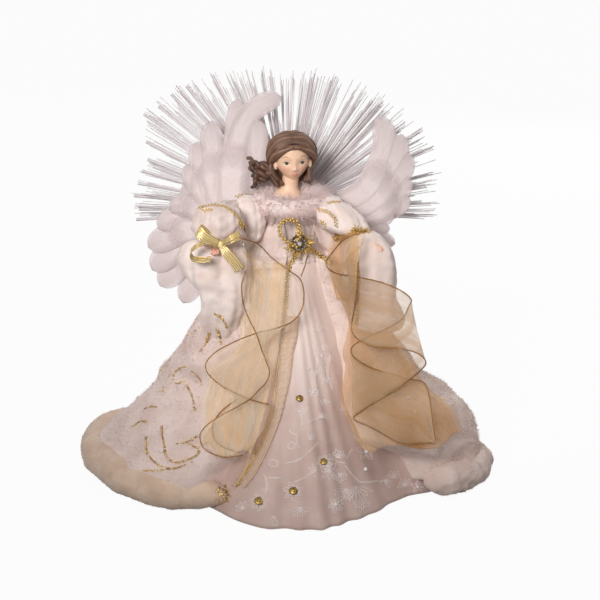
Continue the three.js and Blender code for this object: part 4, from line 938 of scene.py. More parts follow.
def bodicePlace(u, v):
    turn = tau * u
    z = lerp(bodiceSize["bottom"], bodiceSize["top"], v)
    gather = bodiceSize["gather"] * cos(bodiceSize["gathers"] * turn) * (1 - 0.6 * v)
    neck = 1 - bodiceSize["neckIn"] * ease(z, bodiceSize["neckFrom"], bodiceSize["neckTo"])
    ends = zip(bodiceSize["waist"], bodiceSize["chest"])
    halves = [(lerp(low, high, v) + gather) * neck for low, high in ends]
    return oval(turn, *halves, z)


shape = gridSheet(180, 20, bodicePlace, closed=True)
keepSurface(shape)
bodiceSurface = surfaces[-1]
bodicePiece = makeCloth("bodice_cloth", shape, "stretched", ["torso_core"], whiteCloth, "white_cloth",
                        ["bodice"], wall=bodiceSize["wall"])


def waistPlace(u, v):
    turn = tau * u
    z = lerp(waistTape["bottom"], waistTape["top"], v)
    ripple = waistTape["ripple"] * cos(waistTape["ripples"] * turn)
    return oval(turn, waistTape["halfX"] + ripple, waistTape["halfY"] + ripple, z)


shape = gridSheet(192, 6, waistPlace, closed=True)
makeCloth("waist_tape", shape, "stretched", ["torso_core"], whiteCloth, "white_cloth", ["waist_band"],
          wall=waistTape["wall"])

frill = dict(top=187, bottom=174, halfX=23.6, halfY=17.6, flare=5.8, flarePower=1.4, ruffles=37,
             depth=0.7, wall=0.5)


def frillPlace(u, v):
    turn = tau * u
    z = lerp(frill["bottom"], frill["top"], v)
    loose = 1 - v
    wave = frill["depth"] * loose * cos(frill["ruffles"] * turn + 2 * sin(3 * turn))
    flare = 1.0 + frill["flare"] * loose ** frill["flarePower"] + wave
    z += 0.4 * loose * sin(7 * turn)
    return oval(turn, frill["halfX"] + flare, frill["halfY"] + flare, z)


shape = gridSheet(230, 14, frillPlace, closed=True)
keepSurface(shape)
makeCloth("waist_frill", shape, "gathered", [bodicePiece], whiteCloth, "white_cloth", wall=frill["wall"])
print("bodice and waist")

# Sleeves: a belled tulle cuff with a braided rim, and a plush sleeve hanging from it

arms = dict(
    right=dict(
        sleeve=[(-23, -1, 29), (-36, -7, 31), (-45, -20, 31), (-50, -36, 31)], middle=12, bell=20,
        wire=[(-22, -1, 29), (-36, -7, 30), (-45, -21, 27), (-49, -34, 21), (-50, -41, 17)], inward=1,
    ),
    left=dict(
        sleeve=[(23, -1, 29), (30, -7, 30), (35, -14, 30), (40, -22, 28)], middle=11, bell=14,
        wire=[(22, -1, 29), (33, -10, 30), (42, -22, 27), (54, -34, 20), (62, -41, 16)], inward=-1,
    ),
)
cuff = dict(shoulder=9, bellShare=0.62, gathers=13, ruffle=1.1, wall=0.5, columns=120,
            bead=0.8, spacing=1.15, swing=0.7, beadLift=0.5, behind=-40)
# soft forms by rows of the photograph: pixel height, left and right pixel, middle depth and half depth in mm
softRows = dict(
    right_puff=[
        (196, 243, 252, -5, 5), (201, 236, 260, -7, 10), (209, 232, 265, -9, 13), (220, 233, 267, -10, 15),
        (230, 238, 266, -11, 13), (238, 244, 262, -12, 9), (242, 249, 257, -13, 3),
    ],
    left_puff=[
        (195, 322, 332, -5, 5), (200, 317, 342, -8, 10), (208, 315, 355, -13, 13), (217, 316, 363, -18, 14),
        (226, 323, 369, -21, 13), (233, 337, 370, -22, 9), (237, 346, 362, -23, 3),
    ],
    right_dome=[
        (204, 207, 228, -36, 4), (208, 199, 237, -37, 10), (216, 196, 243, -38, 14),
        (226, 194, 245, -39, 15), (236, 195, 245, -39, 14), (243, 198, 241, -39, 10),
        (247, 208, 230, -39, 3),
    ],
    right_sleeve_fall=[
        (239, 205, 232, -32, 4), (243, 188, 243, -31, 11), (253, 182, 248, -31, 15),
        (266, 182, 250, -31, 16), (278, 188, 250, -32, 16), (290, 196, 250, -33, 14),
        (303, 201, 249, -33, 13), (316, 200, 247, -30, 12), (330, 202, 244, -25, 10),
        (344, 208, 238, -18, 6), (352, 216, 230, -12, 2),
    ],
    left_sleeve_fall=[
        (231, 366, 373, -28, 3), (236, 355, 382, -30, 10), (246, 347, 390, -33, 15),
        (258, 345, 395, -34, 17), (271, 345, 397, -34, 17), (284, 347, 397, -34, 16),
        (296, 349, 397, -35, 15), (308, 351, 401, -36, 14), (319, 353, 404, -37, 13),
        (328, 358, 401, -38, 9), (333, 370, 390, -39, 3),
    ],
)
softSteps = dict(around=96, between=10, least=0.3, full=8, coarse=11, fine=5)


def softForm(rows, fold, folds, heap, seed):
    # a loft of ovals, folded lengthwise and heaped a little
    middles = smoothPath([atDepth((a + b) / 2, py, y) for py, a, b, y, _ in rows], softSteps["between"])
    halves = smoothPath(
        [((atDepth(b, py, y) - atDepth(a, py, y)).length / 2, half, 0) for py, a, b, y, half in rows],
        softSteps["between"])
    last = len(middles) - 1

    def place(u, v):
        i = round(v * last)
        turn = -tau * u
        wide, deep = (max(half, softSteps["least"]) for half in halves[i].xy)
        spot = middles[i] + oval(turn, wide, deep, 0)
        share = min(wide, deep, softSteps["full"]) / softSteps["full"]
        wave = fold * sin(folds * turn + 2.2 * sin(4 * v + seed))
        wave += 0.5 * fold * sin(2.3 * folds * turn + 6 * v)
        rough = lumps(spot.x, spot.y, spot.z + seed, softSteps["coarse"])
        rough += 0.5 * lumps(*spot, softSteps["fine"])
        return spot + oval(turn, 1, 1, 0.15) * (share * (wave + heap * rough))
    shape = gridSheet(softSteps["around"], last, place, closed=True)
    ends = [edge for edge in shape.edges if edge.is_boundary]
    bmesh.ops.holes_fill(shape, edges=ends)
    bmesh.ops.recalc_face_normals(shape, faces=shape.faces)
    return shape


def makeCuff(side, arm):
    points = smoothPath(lifted(arm["sleeve"]), 12)

    def radiusAt(u, v):
        upper = lerp(cuff["shoulder"], arm["middle"], ease(v, 0, 0.6))
        plain = lerp(upper, arm["bell"] * cuff["bellShare"], ease(v, 0.6, 1))
        ruffle = cuff["ruffle"] * ease(v, 0.1, 0.9)
        return plain + ruffle * cos(tau * cuff["gathers"] * u + 5 * v)
    shape = wrapped(points, radiusAt, cuff["columns"])
    makeCloth(side + "_cuff", shape, "gathered", [side + "_arm_wire"], tulle, "white_cloth",
              [side + "_upper_sleeve"], wall=cuff["wall"])


def makePuffs():
    for name, finish, slotName, fold, folds, heap, nodes, fill in (
        ("right_puff", plushPaintedLight, "white_cloth", 0.3, 7, 2.0, (), 0.3),
        ("left_puff", plushPaintedLight, "white_cloth", 0.3, 8, 1.8, (), 0.3),
        ("right_dome", tulle, "white_cloth", 0.4, 9, 3.0, (), 0.2),
        ("right_sleeve_fall", plushPaintedLight, "white_plush", 1.3, 5, 1.4, ["right_hanging_sleeve"], 0.25),
        ("left_sleeve_fall", plushPaintedLight, "white_plush", 0.9, 4, 1.0, ["left_hanging_sleeve"], 0.25),
    ):
        shape = softForm(softRows[name], fold, folds, heap, len(name))
        keepSurface(shape)
        softSurfaces[name] = surfaces[-1]
        piece = makePiece(name, shape, finish, slotName, nodes)


softSurfaces = {}
shoulderLine = [(236, 197), (240, 195.5), (246, 195.5)]
rimLines = dict(  # pixels of the gold cord on each cuff
    right=[[(199, 209), (205, 207), (211, 206), (216, 205.5), (227, 208.5), (237, 217), (244, 227.5)],
           [(203, 211), (208, 210), (212, 211)], [(238, 222), (242, 228)]],
    left=[[(319, 210), (325, 211), (330, 214), (335, 220), (336.5, 227)],
          [(321, 221.5), (324, 223.5), (327, 226.5)],
          [(328, 204), (334, 202.5), (340, 203)]],
)
for side, arm in arms.items():
    makeCuff(side, arm)
makePuffs()
for side, form in (("right", "right_dome"), ("left", "left_puff")):
    shape = bmesh.new()
    for line in rimLines[side]:
        beadChain(shape, laidLine(line, 6, cuff["beadLift"], [softSurfaces[form]], cuff["behind"]), cuff)
    makePiece(side + "_cuff_braid", shape, goldBraid, "gold_braid", [side + "_sleeve_braid"])
shape = bmesh.new()
beadChain(shape, [atDepth(px, py, 2) for px, py in pixelPath(shoulderLine, 5)], cuff)
makePiece("shoulder_cord", shape, goldBraid, "gold_braid")
print("sleeves")

# Fur collar of eyelash yarn

collar = dict(centre=(4, -3, 216.5), halfX=21.5, halfY=15, radius=7.2, tilt=14,
              threads=3600, length=7, threadRadius=0.17)


def collarPlace(u, v):
    tilt = radians(collar["tilt"])
    turn, rolled = tau * u, tau * v
    reach = collar["radius"] * (1 + 0.12 * lumps(9 * cos(turn), 9 * sin(turn), 4 * cos(rolled), 2.2))
    back = Vector((0, cos(tilt), sin(tilt)))
    up = Vector((0, -sin(tilt), cos(tilt)))
    spot = Vector(collar["centre"])
    spot += Vector((1, 0, 0)) * (collar["halfX"] + reach * cos(rolled)) * cos(turn)
    spot += back * (collar["halfY"] + reach * cos(rolled)) * sin(turn)
    return spot + up * reach * sin(rolled)


def makeCollar():
    shape = gridSheet(110, 24, collarPlace, closed=True)
    base = makePiece("collar_roll", shape, collarYarn, "collar_yarn", ["fur_collar"], turnOut=True)
    rng = random.Random(21)
    lines = []
    for _ in range(collar["threads"]):
        u, v = rng.random(), rng.random()
        root = collarPlace(u, v)
        out = (root - Vector(collar["centre"]) * 0.15 - collarPlace(u, v + 0.5) * 0.85).normalized()
        aim = (out + shaken(rng, (0, 0.6), (0, 0.6), (-0.1, 0.6))).normalized()
        bend = shaken(rng, (0, 0.5), (0, 0.5), (-0.3, 0.5))
        long = collar["length"] * rng.uniform(0.35, 1.0)
        points = [root + aim * long * t + bend * long * 0.35 * t * t for t in (0, 0.35, 0.7, 1)]
        lines.append(tapered(points, (1.0, 0.35)))
    strands("collar_lashes", lines, collar["threadRadius"], collarYarn, "collar_yarn")


makeCollar()
print("collar")

# Head, face and hair. Places are from the head's middle, facing -Y.

head = dict(half=(13, 14.6, 17.5), place=(4.2, -1, 249.9), turn=9, lean=-2)
faceBumps = [  # in mm: push forward, way from the middle and width, height and its width
    (0.75, 1.55, 0.9, -9, 1), (-0.95, 5.4, 2.7, -3.6, 1.9),  # nostrils, eye hollows
    (0.45, 5.4, 3.4, 0.2, 1.5), (0.7, 6.2, 3.2, -8.6, 3.2),  # brows, cheeks
    (0.4, 0, 3.4, -12.6, 1.9), (-0.25, 0, 3.2, -14.5, 0.9),
    (0.6, 0, 3.2, -16.4, 2),  # lips, the dip below, chin
]
headFrame = (Matrix.Translation(head["place"]) @ Matrix.Rotation(radians(head["turn"]), 4, "Z")
             @ Matrix.Rotation(radians(head["lean"]), 4, "Y"))


def headPoint(aim):
    x, y, z = (aim[i] * head["half"][i] for i in range(3))
    jaw = ease(-z, 3, 17)
    x *= 1 - 0.14 * jaw - 0.07 * ease(z, 4, 15)
    z -= 2.8 * ease(z, 5, 16)
    if y < 0:
        y *= 1 - 0.1 * bump(z, -6, 9)
        front = min(-aim.y * 1.6, 1.0)
        nose = 1.9 * bump(z, -8.4, 1.6) + 1.1 * bump(z, -5.6, 2.6) + 0.6 * bump(z, -2.2, 2.4)
        y -= front * nose * bump(x, 0, 1.55)
        for push, far, wide, height, tall in faceBumps:
            y -= front * push * (bump(x, far, wide) + bump(x, -far, wide)) * bump(z, height, tall)
    return Vector((x, y, z))


def paintSkin(piece, tint):
    mesh = piece.data
    layer = mesh.color_attributes.new("paint", "FLOAT_COLOR", "POINT")
    for i, vert in enumerate(mesh.vertices):
        layer.data[i].color = tint(vert.co / mm)


skinTone, cheekTone, fingerTone = srgb(247, 207, 176), srgb(243, 176, 152), srgb(236, 182, 162)


def blend(a, b, share):
    return tuple(lerp(a[i], b[i], share) for i in range(4))


def faceTint(spot):
    local = headFrame.inverted() @ spot
    blush = 0.75 * sum(bump(local.x, side * 6.6, 3.0) for side in (-1, 1)) * bump(local.z, -8.4, 2.6)
    return blend(skinTone, cheekTone, min(blush, 1.0) if local.y < 0 else 0.0)


def makeHead():
    shape = bmesh.new()
    addBall(shape, 96, 80)
    for vert in shape.verts:
        vert.co = headPoint(vert.co.normalized())
    for side in (-1, 1):
        ear = Matrix.Translation((side * 12.6, -2.2, -6.0)) @ Matrix.Diagonal((1.7, 1.7, 3.4, 1.0))
        addBall(shape, 16, 12, ear)
    tree = BVHTree.FromBMesh(shape)
    bmesh.ops.transform(shape, matrix=headFrame, verts=shape.verts)

    neckPath = smoothPath([(0.5, 1, 205), (1.0, 1, 216), (2.6, 0.4, 228), (4.0, 0.2, 242)], 8)
    neck = wrapped(neckPath, lambda u, v: 6.1 + 9.0 * (1 - ease(v, 0.3, 0.68)), 48)
    chest = bmesh.new()
    addBall(chest, 48, 32)
    for vert in chest.verts:
        vert.co = Vector((vert.co.x * 25, vert.co.y * 12.6, 199.5 + max(vert.co.z, 0) * 13.6))
    addPart(shape, neck)
    addPart(shape, chest)
    piece = makePiece("cast_head", shape, skin, "cast_skin", ["head_bust"])
    paintSkin(piece, faceTint)
    return tree


faceSurface = makeHead()


def onFace(x, z, rise):
    place, normal, _, _ = faceSurface.ray_cast(Vector((x, -40, z)), Vector((0, 1, 0)))
    return headFrame @ (place + normal * rise)


features = dict(eyeX=5.8, eyeZ=-3.7, eyeHalf=2, eyeTall=0.95, iris=(1.3, 1.25), mouthZ=-12.1, mouthHalf=2.4,
                browZ=0.3)


def faceLine(name, lines, radius, finish):
    paths = []
    for line, radii in lines:
        points = smoothPath([onFace(x, z, 0.06) for x, z in line], 6)
        middle = (len(points) - 1) / 2
        paths.append([
            (p, lerp(radii[1], radii[0], 1 - abs(i - middle) / middle)) for i, p in enumerate(points)])
    strands(name, paths, radius, finish, "cast_skin", sides=2)


def makeFace():
    white, dark = bmesh.new(), bmesh.new()
    eyeX, eyeZ, half, tall = (features[k] for k in ("eyeX", "eyeZ", "eyeHalf", "eyeTall"))
    for side in (-1, 1):
        for target, x, z, halfX, halfZ, rise in (
            (white, side * eyeX, eyeZ, half, tall, -0.18),
            (dark, side * eyeX + 0.1, eyeZ + 0.1, *features["iris"], 0.02),
        ):
            middle = onFace(x, z, rise)
            size = Matrix.Diagonal((halfX, 0.5, halfZ, 1.0))
            turn = headFrame.to_3x3().to_4x4() @ Matrix.Rotation(side * radians(18), 4, "Z")
            addBall(target, 24, 16, Matrix.Translation(middle) @ turn @ size)
    makePiece("eye_whites", white, eyeWhite, "cast_skin")
    makePiece("eye_irises", dark, eyeDark, "cast_skin")

    lids, brows = [], []
    for side in (-1, 1):
        lid = [(side * (eyeX - half), eyeZ - 0.1), (side * (eyeX - 0.5 * half), eyeZ + 0.85 * tall),
               (side * (eyeX + 0.3 * half), eyeZ + 1.1 * tall), (side * (eyeX + 1.15 * half), eyeZ + 0.25)]
        lids.append((lid, (1.0, 0.4)))
        brow = [(side * (eyeX - 2.6), features["browZ"]), (side * (eyeX + 0.2), features["browZ"] + 1.2),
                (side * (eyeX + 2.9), features["browZ"] + 0.1)]
        brows.append((brow, (1.0, 0.3)))
    faceLine("eye_lids", lids, 0.32, eyeDark)
    faceLine("eyebrows", brows, 0.34, browBrown)
    mouth, mouthZ = features["mouthHalf"], features["mouthZ"]
    upper = [(-mouth, mouthZ), (-0.5 * mouth, mouthZ + 0.45), (0, mouthZ + 0.3), (0.5 * mouth, mouthZ + 0.45),
             (mouth, mouthZ)]
    lower = [(-0.9 * mouth, mouthZ - 0.1), (0, mouthZ - 0.75), (0.9 * mouth, mouthZ - 0.1)]
    faceLine("lips", [(upper, (0.9, 0.3)), (lower, (1.15, 0.3))], 0.55, lipRed)


makeFace()
print("head and face")

# Moulded hair: a cap, and locks that sweep from the middle parting to the sides

hairStyle = dict(half=(17.2, 16.4, 15.6), rise=1, back=1.6, locks=26, lockRadius=1.25, peak=6, slope=0.42,
                 curls=15, curlRadius=2.1, curlThick=1.5)


def onHair(spot, grow):
    middle = Vector((0, hairStyle["back"], hairStyle["rise"]))
    way = spot - middle
    reach = sqrt(sum((way[i] / (hairStyle["half"][i] + grow)) ** 2 for i in range(3)))
    return middle + way / reach


def makeHairCap():
    shape = bmesh.new()
    addBall(shape, 120, 90)
    for vert in shape.verts:
        spot = onHair(vert.co.normalized() * 15, -0.5)
        line = hairStyle["peak"] - hairStyle["slope"] * abs(spot.x) + 0.8
        bare = (1 - ease(spot.z, line - 0.6, line + 0.6)) * ease(-spot.y, 1.5, 3.5)
        vert.co = spot.lerp(Vector((spot.x * 0.75, max(spot.y * 0.4, -4), spot.z * 0.8)), bare)
    lower = Matrix.Translation((0, 7.5, -10)) @ Matrix.Diagonal((13.5, 7.5, 13.0, 1.0))
    addBall(shape, 40, 28, lower)
    bmesh.ops.transform(shape, matrix=headFrame, verts=shape.verts)
    makePiece("hair_cap", shape, hairBrown, "cast_hair", ["moulded_hair"])


def makeHairLocks():
    lines, streaks = [], []
    for side in (-1, 1):
        for i in range(hairStyle["locks"]):
            share = i / (hairStyle["locks"] - 1)
            swing = lerp(radians(23), radians(150), share)
            start = Vector((0, -15 * cos(swing), 18 * sin(swing)))
            low = Vector((side * lerp(15, 11, ease(share, 0.6, 1)), lerp(1, 13, share), lerp(-7, -15, share)))
            points = []
            for k in range(9):
                t = k / 8
                spot = start.lerp(low, t)
                spot.z += 2.4 * sin(pi * t) * (1 - 0.6 * share) + 0.5 * sin(9 * t + 2.3 * i)
                ripple = 0.45 * sin(9 * t + 1.7 * i) * sin(pi * t)
                points.append(headFrame @ onHair(spot, 0.1 + 0.4 * (i % 2) + ripple))
            path = smoothPath(points, 5)
            last = len(path) - 1
            lock = [(p, 0.6 + 0.5 * sin(pi * j / last) ** 0.7) for j, p in enumerate(path)]
            (streaks if i % 3 == 1 else lines).append(lock)
    strands("hair_locks", lines, hairStyle["lockRadius"], hairBrown, "cast_hair", sides=2)
    strands("hair_streaks", streaks, hairStyle["lockRadius"], hairLight, "cast_hair", sides=2)


def makeHairFalls():
    rng = random.Random(5)
    falls = []
    for side, count, wide, drop in ((-1, 16, 15.5, -21), (1, 13, 12.6, -21)):
        for i in range(count):
            share = i / (count - 1)
            start = Vector((side * rng.uniform(wide - 2, wide), lerp(-1, 8, share), rng.uniform(-5, -1)))
            middle = Vector((
                side * (wide + rng.uniform(-1, 1.5)), lerp(-2, 8, share), -11 + rng.uniform(-2, 2)))
            low = Vector((side * rng.uniform(7.5, 12.5), lerp(-4, 6, share), drop + rng.uniform(-1, 4)))
            path = smoothPath([headFrame @ p for p in (start, middle, low)], 8)
            last = len(path) - 1
            falls.append([(p, 0.8 + 0.35 * sin(pi * j / last)) for j, p in enumerate(path)])
    strands("hair_falls", falls, 1.7, hairBrown, "cast_hair", sides=2)

    curls, darkCurls = [], []
    for i in range(hairStyle["curls"]):
        share = i / (hairStyle["curls"] - 1)
        aim = Vector((-1, rng.uniform(-0.35, 0.25), lerp(0.3, -0.45, share))).normalized()
        across = aim.cross(Vector((0, 1, 0))).normalized()
        third = aim.cross(across)
        root = Vector((-14.0, 1.0 + rng.uniform(-3, 3), -10.5 - 5 * (share - 0.5)))
        long = rng.uniform(13, 20)
        phase = rng.uniform(0, 6.3)
        line = []
        for k in range(34):
            t = k / 33
            turn = phase + tau * 1.7 * t
            reach = hairStyle["curlRadius"] * ease(t, 0.1, 0.7)
            spot = root + aim * long * t + across * reach * cos(turn) + third * reach * sin(turn)
            line.append(headFrame @ spot)
        (darkCurls if i % 3 else curls).append(tapered(line, (1.6, 0.9)))
    strands("hair_side_tail", curls, hairStyle["curlThick"], hairBrown, "cast_hair", sides=2)
    strands("hair_tail_ends", darkCurls, hairStyle["curlThick"], hairDark, "cast_hair", sides=2)


makeHairCap()
makeHairLocks()
makeHairFalls()
print("hair")

# Hands

handSize = dict(palm=3.3, palmRun=[(-6, 0.85), (0, 0.8), (2.5, 1), (5, 0.95), (6.2, 0.6)], fingerLong=6.2,
                fingerGap=1.55, scale=dict(right=1, left=0.84),
                fingers=dict(right=4, left=2), thick=dict(right=1, left=1.9), thumbs=("right",))


def makeHand(side, arm):
    path = smoothPath(lifted(arm["wire"]), 8)
    wrist = path[-1]
    scale = handSize["scale"][side]
    reach = (path[-1] - path[-3]).normalized() * scale
    across = reach.cross(Vector((0, 0, 1))).normalized()
    lift = across.cross(reach).normalized() * scale
    across *= scale
    lines = [[(wrist + reach * far, share) for far, share in handSize["palmRun"]]]
    thick = handSize["thick"][side]
    for k in range(handSize["fingers"][side]):
        base = wrist + reach * 5 + across * (k - 1.5) * handSize["fingerGap"]
        droop = lift * (-0.6 - 0.35 * k)
        long = handSize["fingerLong"] * (1 - 0.08 * abs(k - 1.4))
        points = [base, base + reach * long * 0.5 + lift * 0.4, base + reach * long + droop]
        lines.append([(p, thick * lerp(0.36, 0.25, i / 6)) for i, p in enumerate(smoothPath(points, 3))])
    if side in handSize["thumbs"]:
        thumbRoot = wrist + reach * 2 + across * arm["inward"] * -2.2
        thumb = [thumbRoot, thumbRoot + reach * 2.4 - across * arm["inward"] * 1.6 + lift * 1.2,
                 thumbRoot + reach * 4.6 - across * arm["inward"] * 1.6 + lift * 1.8]
        lines.append([(p, thick * lerp(0.42, 0.3, i / 6)) for i, p in enumerate(smoothPath(thumb, 3))])
    piece = strands(
        side + "_cast_hand", lines, handSize["palm"] * scale, skin, "cast_skin", [side + "_hand"], sides=4)
    paintSkin(piece, lambda spot: blend(skinTone, fingerTone, ease((spot - wrist).dot(reach), 2, 9)))


for side, arm in arms.items():
    makeHand(side, arm)
print("hands")

# Wings

wings = dict(  # each feather: pixels along its spine, width in mm
    right=dict(
        upper=[
            ([(226, 208), (232, 175), (236, 148), (245, 122), (261, 105), (282, 97)], 13.5),
            ([(235, 208), (252, 172), (257, 142), (256, 119)], 14.5),
            ([(224, 208), (231, 160), (236, 125), (238, 99)], 13),
            ([(221, 208), (214, 165), (212, 141), (211, 121)], 14.5),
            ([(217, 208), (205, 175), (199, 156), (197, 142)], 14),
            ([(212, 210), (199, 188), (191, 175), (186, 165)], 14.5),
            ([(214, 212), (200, 202), (190, 193), (183, 185)], 15),
        ],
        lower=[
            ([(212, 214), (192, 207), (180, 206), (169, 209)], 15),
            ([(212, 216), (188, 216), (171, 220), (158, 228)], 16),
            ([(212, 220), (185, 229), (163, 240), (148, 247)], 17),
            ([(212, 224), (186, 241), (166, 257), (152, 270)], 17),
            ([(214, 228), (192, 251), (173, 272), (160, 286)], 17),
            ([(216, 232), (201, 262), (191, 285), (183, 303)], 15),
        ],
        coverts=[
            ([(232, 216), (231, 180), (236, 140)], 24), ([(225, 216), (215, 182), (211, 148)], 22),
            ([(219, 216), (204, 190), (196, 166)], 20), ([(217, 220), (197, 208), (178, 203)], 20),
            ([(217, 226), (193, 229), (166, 238)], 22), ([(219, 232), (199, 251), (178, 274)], 20),
        ]),
    left=dict(
        upper=[
            ([(338, 200), (362, 189), (378, 166), (385, 142), (382, 127), (375, 119)], 15),
            ([(342, 205), (372, 190), (391, 166), (398, 149), (401.5, 134)], 14.5),
            ([(345, 208), (375, 198), (397, 179), (405, 166), (408.5, 153)], 13.5),
            ([(348, 210), (378, 204), (397, 193), (404, 185), (407, 176)], 14),
            ([(350, 213), (378, 212), (397, 206), (404, 200), (408, 195)], 14),
        ],
        lower=[
            ([(350, 215), (370, 217), (384, 217), (394, 212)], 13),
            ([(352, 218), (368, 224), (380, 228), (390, 229)], 11),
            ([(355, 224), (372, 234), (384, 240), (395, 244)], 12),
            ([(355, 230), (370, 244), (380, 255), (388, 262)], 12),
        ],
        coverts=[
            ([(334, 208), (366, 190), (384, 156)], 20), ([(338, 214), (372, 202), (395, 172)], 20),
            ([(342, 218), (374, 213), (400, 196)], 18),
        ]),
)
plume = dict(columns=10, rows=30, camber=0.4, wall=0.3, widen=1.22, step=0.3, tilt=0.2, finest=0.05,
             endShare=0.42, endLong=15, bodyFrom=0.45, layers=dict(coverts=18.6, upper=22.6, lower=20.4),
             roots=dict(coverts=0.85, upper=0.5, lower=0.5))


def evenPath(points, count):
    long = [0.0]
    for a, b in zip(points, points[1:]):
        long.append(long[-1] + (b - a).length)
    even, i = [], 0
    for k in range(count + 1):
        far = long[-1] * k / count
        while i < len(points) - 2 and long[i + 1] < far:
            i += 1
        even.append(points[i].lerp(points[i + 1], (far - long[i]) / max(long[i + 1] - long[i], 1e-6)))
    return even


def addFeather(shape, spine, width, y, root):
    last = plume["rows"]
    path = evenPath(smoothPath([atDepth(px, py, y) for px, py in spine], 12), last)
    ending = min(plume["endShare"], plume["endLong"] / ((path[1] - path[0]).length * last))

    def place(u, v):
        i = round(v * last)
        along = (path[min(i + 1, last)] - path[max(i - 1, 0)]).normalized()
        aside = along.cross(Vector((0, 1, 0)))
        share = 2 * u - 1
        body = lerp(root, 1.0, ease(v, 0, plume["bodyFrom"]))
        tip = sqrt(max(1 - max((v - 1) / ending + 1, 0) ** 2, 0))
        reach = share * width / 2 * max(body * tip, plume["finest"])
        bowed = plume["camber"] * share * share - plume["tilt"] * share
        return path[i] + aside * reach + Vector((0, bowed, 0))
    addPart(shape, gridSheet(plume["columns"], last, place))


def makeWing(side, wing):
    for part in ("upper", "lower", "coverts"):
        shape = bmesh.new()
        shape.loops.layers.uv.new("UVMap")
        for i, (spine, width) in enumerate(wing[part]):
            y = plume["layers"][part] + plume["step"] * i
            addFeather(shape, spine, width * plume["widen"], y, plume["roots"][part])
        nodes = [side + "_wing_" + part + "_feathers"] if part != "coverts" else ()
        finish = featherDown if part == "coverts" else featherWhite
        makePiece(side + "_" + part + "_plumes", shape, finish, "feather", nodes, side + "_wing",
                  wall=plume["wall"], offset=0)


for side, wing in wings.items():
    makeWing(side, wing)
print("wings")

# Halo of light fibres, in tufts

halo = dict(middle=(0, 42, 199), inner=20, droop=4, tufts=44, perTuft=13,
            loose=150, short=330, fibreRadius=0.27, depth=5, seed=11,
            comb=dict(inner=13.4, outer=22, halfDeep=3, taper=0.8, steps=72),
            bands=(118, 128, 134, 140, 145, 153, 159, 164, 169, 174, 179, 183), bandThick=4.5,
            outline=[  # degrees and mm
                (-5, 117), (0, 119), (20, 123), (30, 125), (44, 119), (70, 114), (90, 113), (106, 117),
                (122, 123), (131, 129), (138, 135), (144, 138), (151, 124), (158, 119), (165, 119),
                (176, 121), (185, 123)])


def makeHalo():
    rng = random.Random(halo["seed"])
    lines = []
    fromTurn, toTurn = radians(-halo["droop"]), pi + radians(halo["droop"])

    def addFibre(start, end, share):
        long = share * alongRun(halo["outline"], math.degrees(end))
        y = halo["middle"][1] + rng.uniform(-0.5, 0.5) * halo["depth"]
        line = []
        for t in (0, 0.5, 1):
            across, up = polar(lerp(start, end, t), lerp(halo["inner"], long, t))
            line.append(Vector((across, y, halo["middle"][2] + up)))
        lines.append(line)
    for tuft in range(halo["tufts"]):
        centre = lerp(fromTurn, toTurn, (tuft + 0.5) / halo["tufts"] + rng.uniform(-0.006, 0.006))
        tuftReach = rng.uniform(0.95, 1.0)
        weight = rng.choice((0.4, 0.7, 1.0, 1.5))
        spread = rng.choice((0.008, 0.012, 0.02))
        for _ in range(int(halo["perTuft"] * weight)):
            turn = centre + rng.gauss(0, spread)
            addFibre(turn + rng.gauss(0, 0.01), turn, tuftReach * rng.uniform(0.84, 1.0))
    for count, sway, span in ((halo["loose"], 0.01, (0.8, 1.0)), (halo["short"], 0.012, (0.45, 0.72))):
        for _ in range(count):
            turn = rng.uniform(fromTurn, toTurn)
            addFibre(turn, turn + rng.gauss(0, sway), rng.uniform(*span))
    for turn in halo["bands"]:
        addFibre(radians(turn), radians(turn), rng.uniform(0.93, 0.99))
        lines[-1] = tapered(lines[-1], (1.0, halo["bandThick"]))
    strands("halo_fibres", lines, halo["fibreRadius"], clearFibre, "clear_fibre", ["fibre_halo"])

    section = bmesh.new()
    comb = halo["comb"]
    y0, y1 = (halo["middle"][1] + side * comb["halfDeep"] for side in (-1, 1))
    z0 = halo["middle"][2]
    corners = [section.verts.new((radius, y, z0)) for radius, y in (
        (comb["inner"], y0), (comb["outer"], y0 + comb["taper"]),
        (comb["outer"], y1 - comb["taper"]), (comb["inner"], y1))]
    face = section.faces.new(corners)
    bmesh.ops.rotate(section, verts=section.verts, cent=(0, 0, z0),
                     matrix=Matrix.Rotation(-fromTurn, 3, "Y"))
    bmesh.ops.spin(section, geom=[face] + list(face.edges) + corners, cent=(0, 0, z0), axis=(0, -1, 0),
                   angle=toTurn - fromTurn, steps=comb["steps"])
    makePiece("halo_comb", section, whitePlastic, "white_plastic", turnOut=True)


makeHalo()
print("halo")

# Wired gauze ribbons. Each row has x and y of two pixels in the photograph, one on each wired edge.

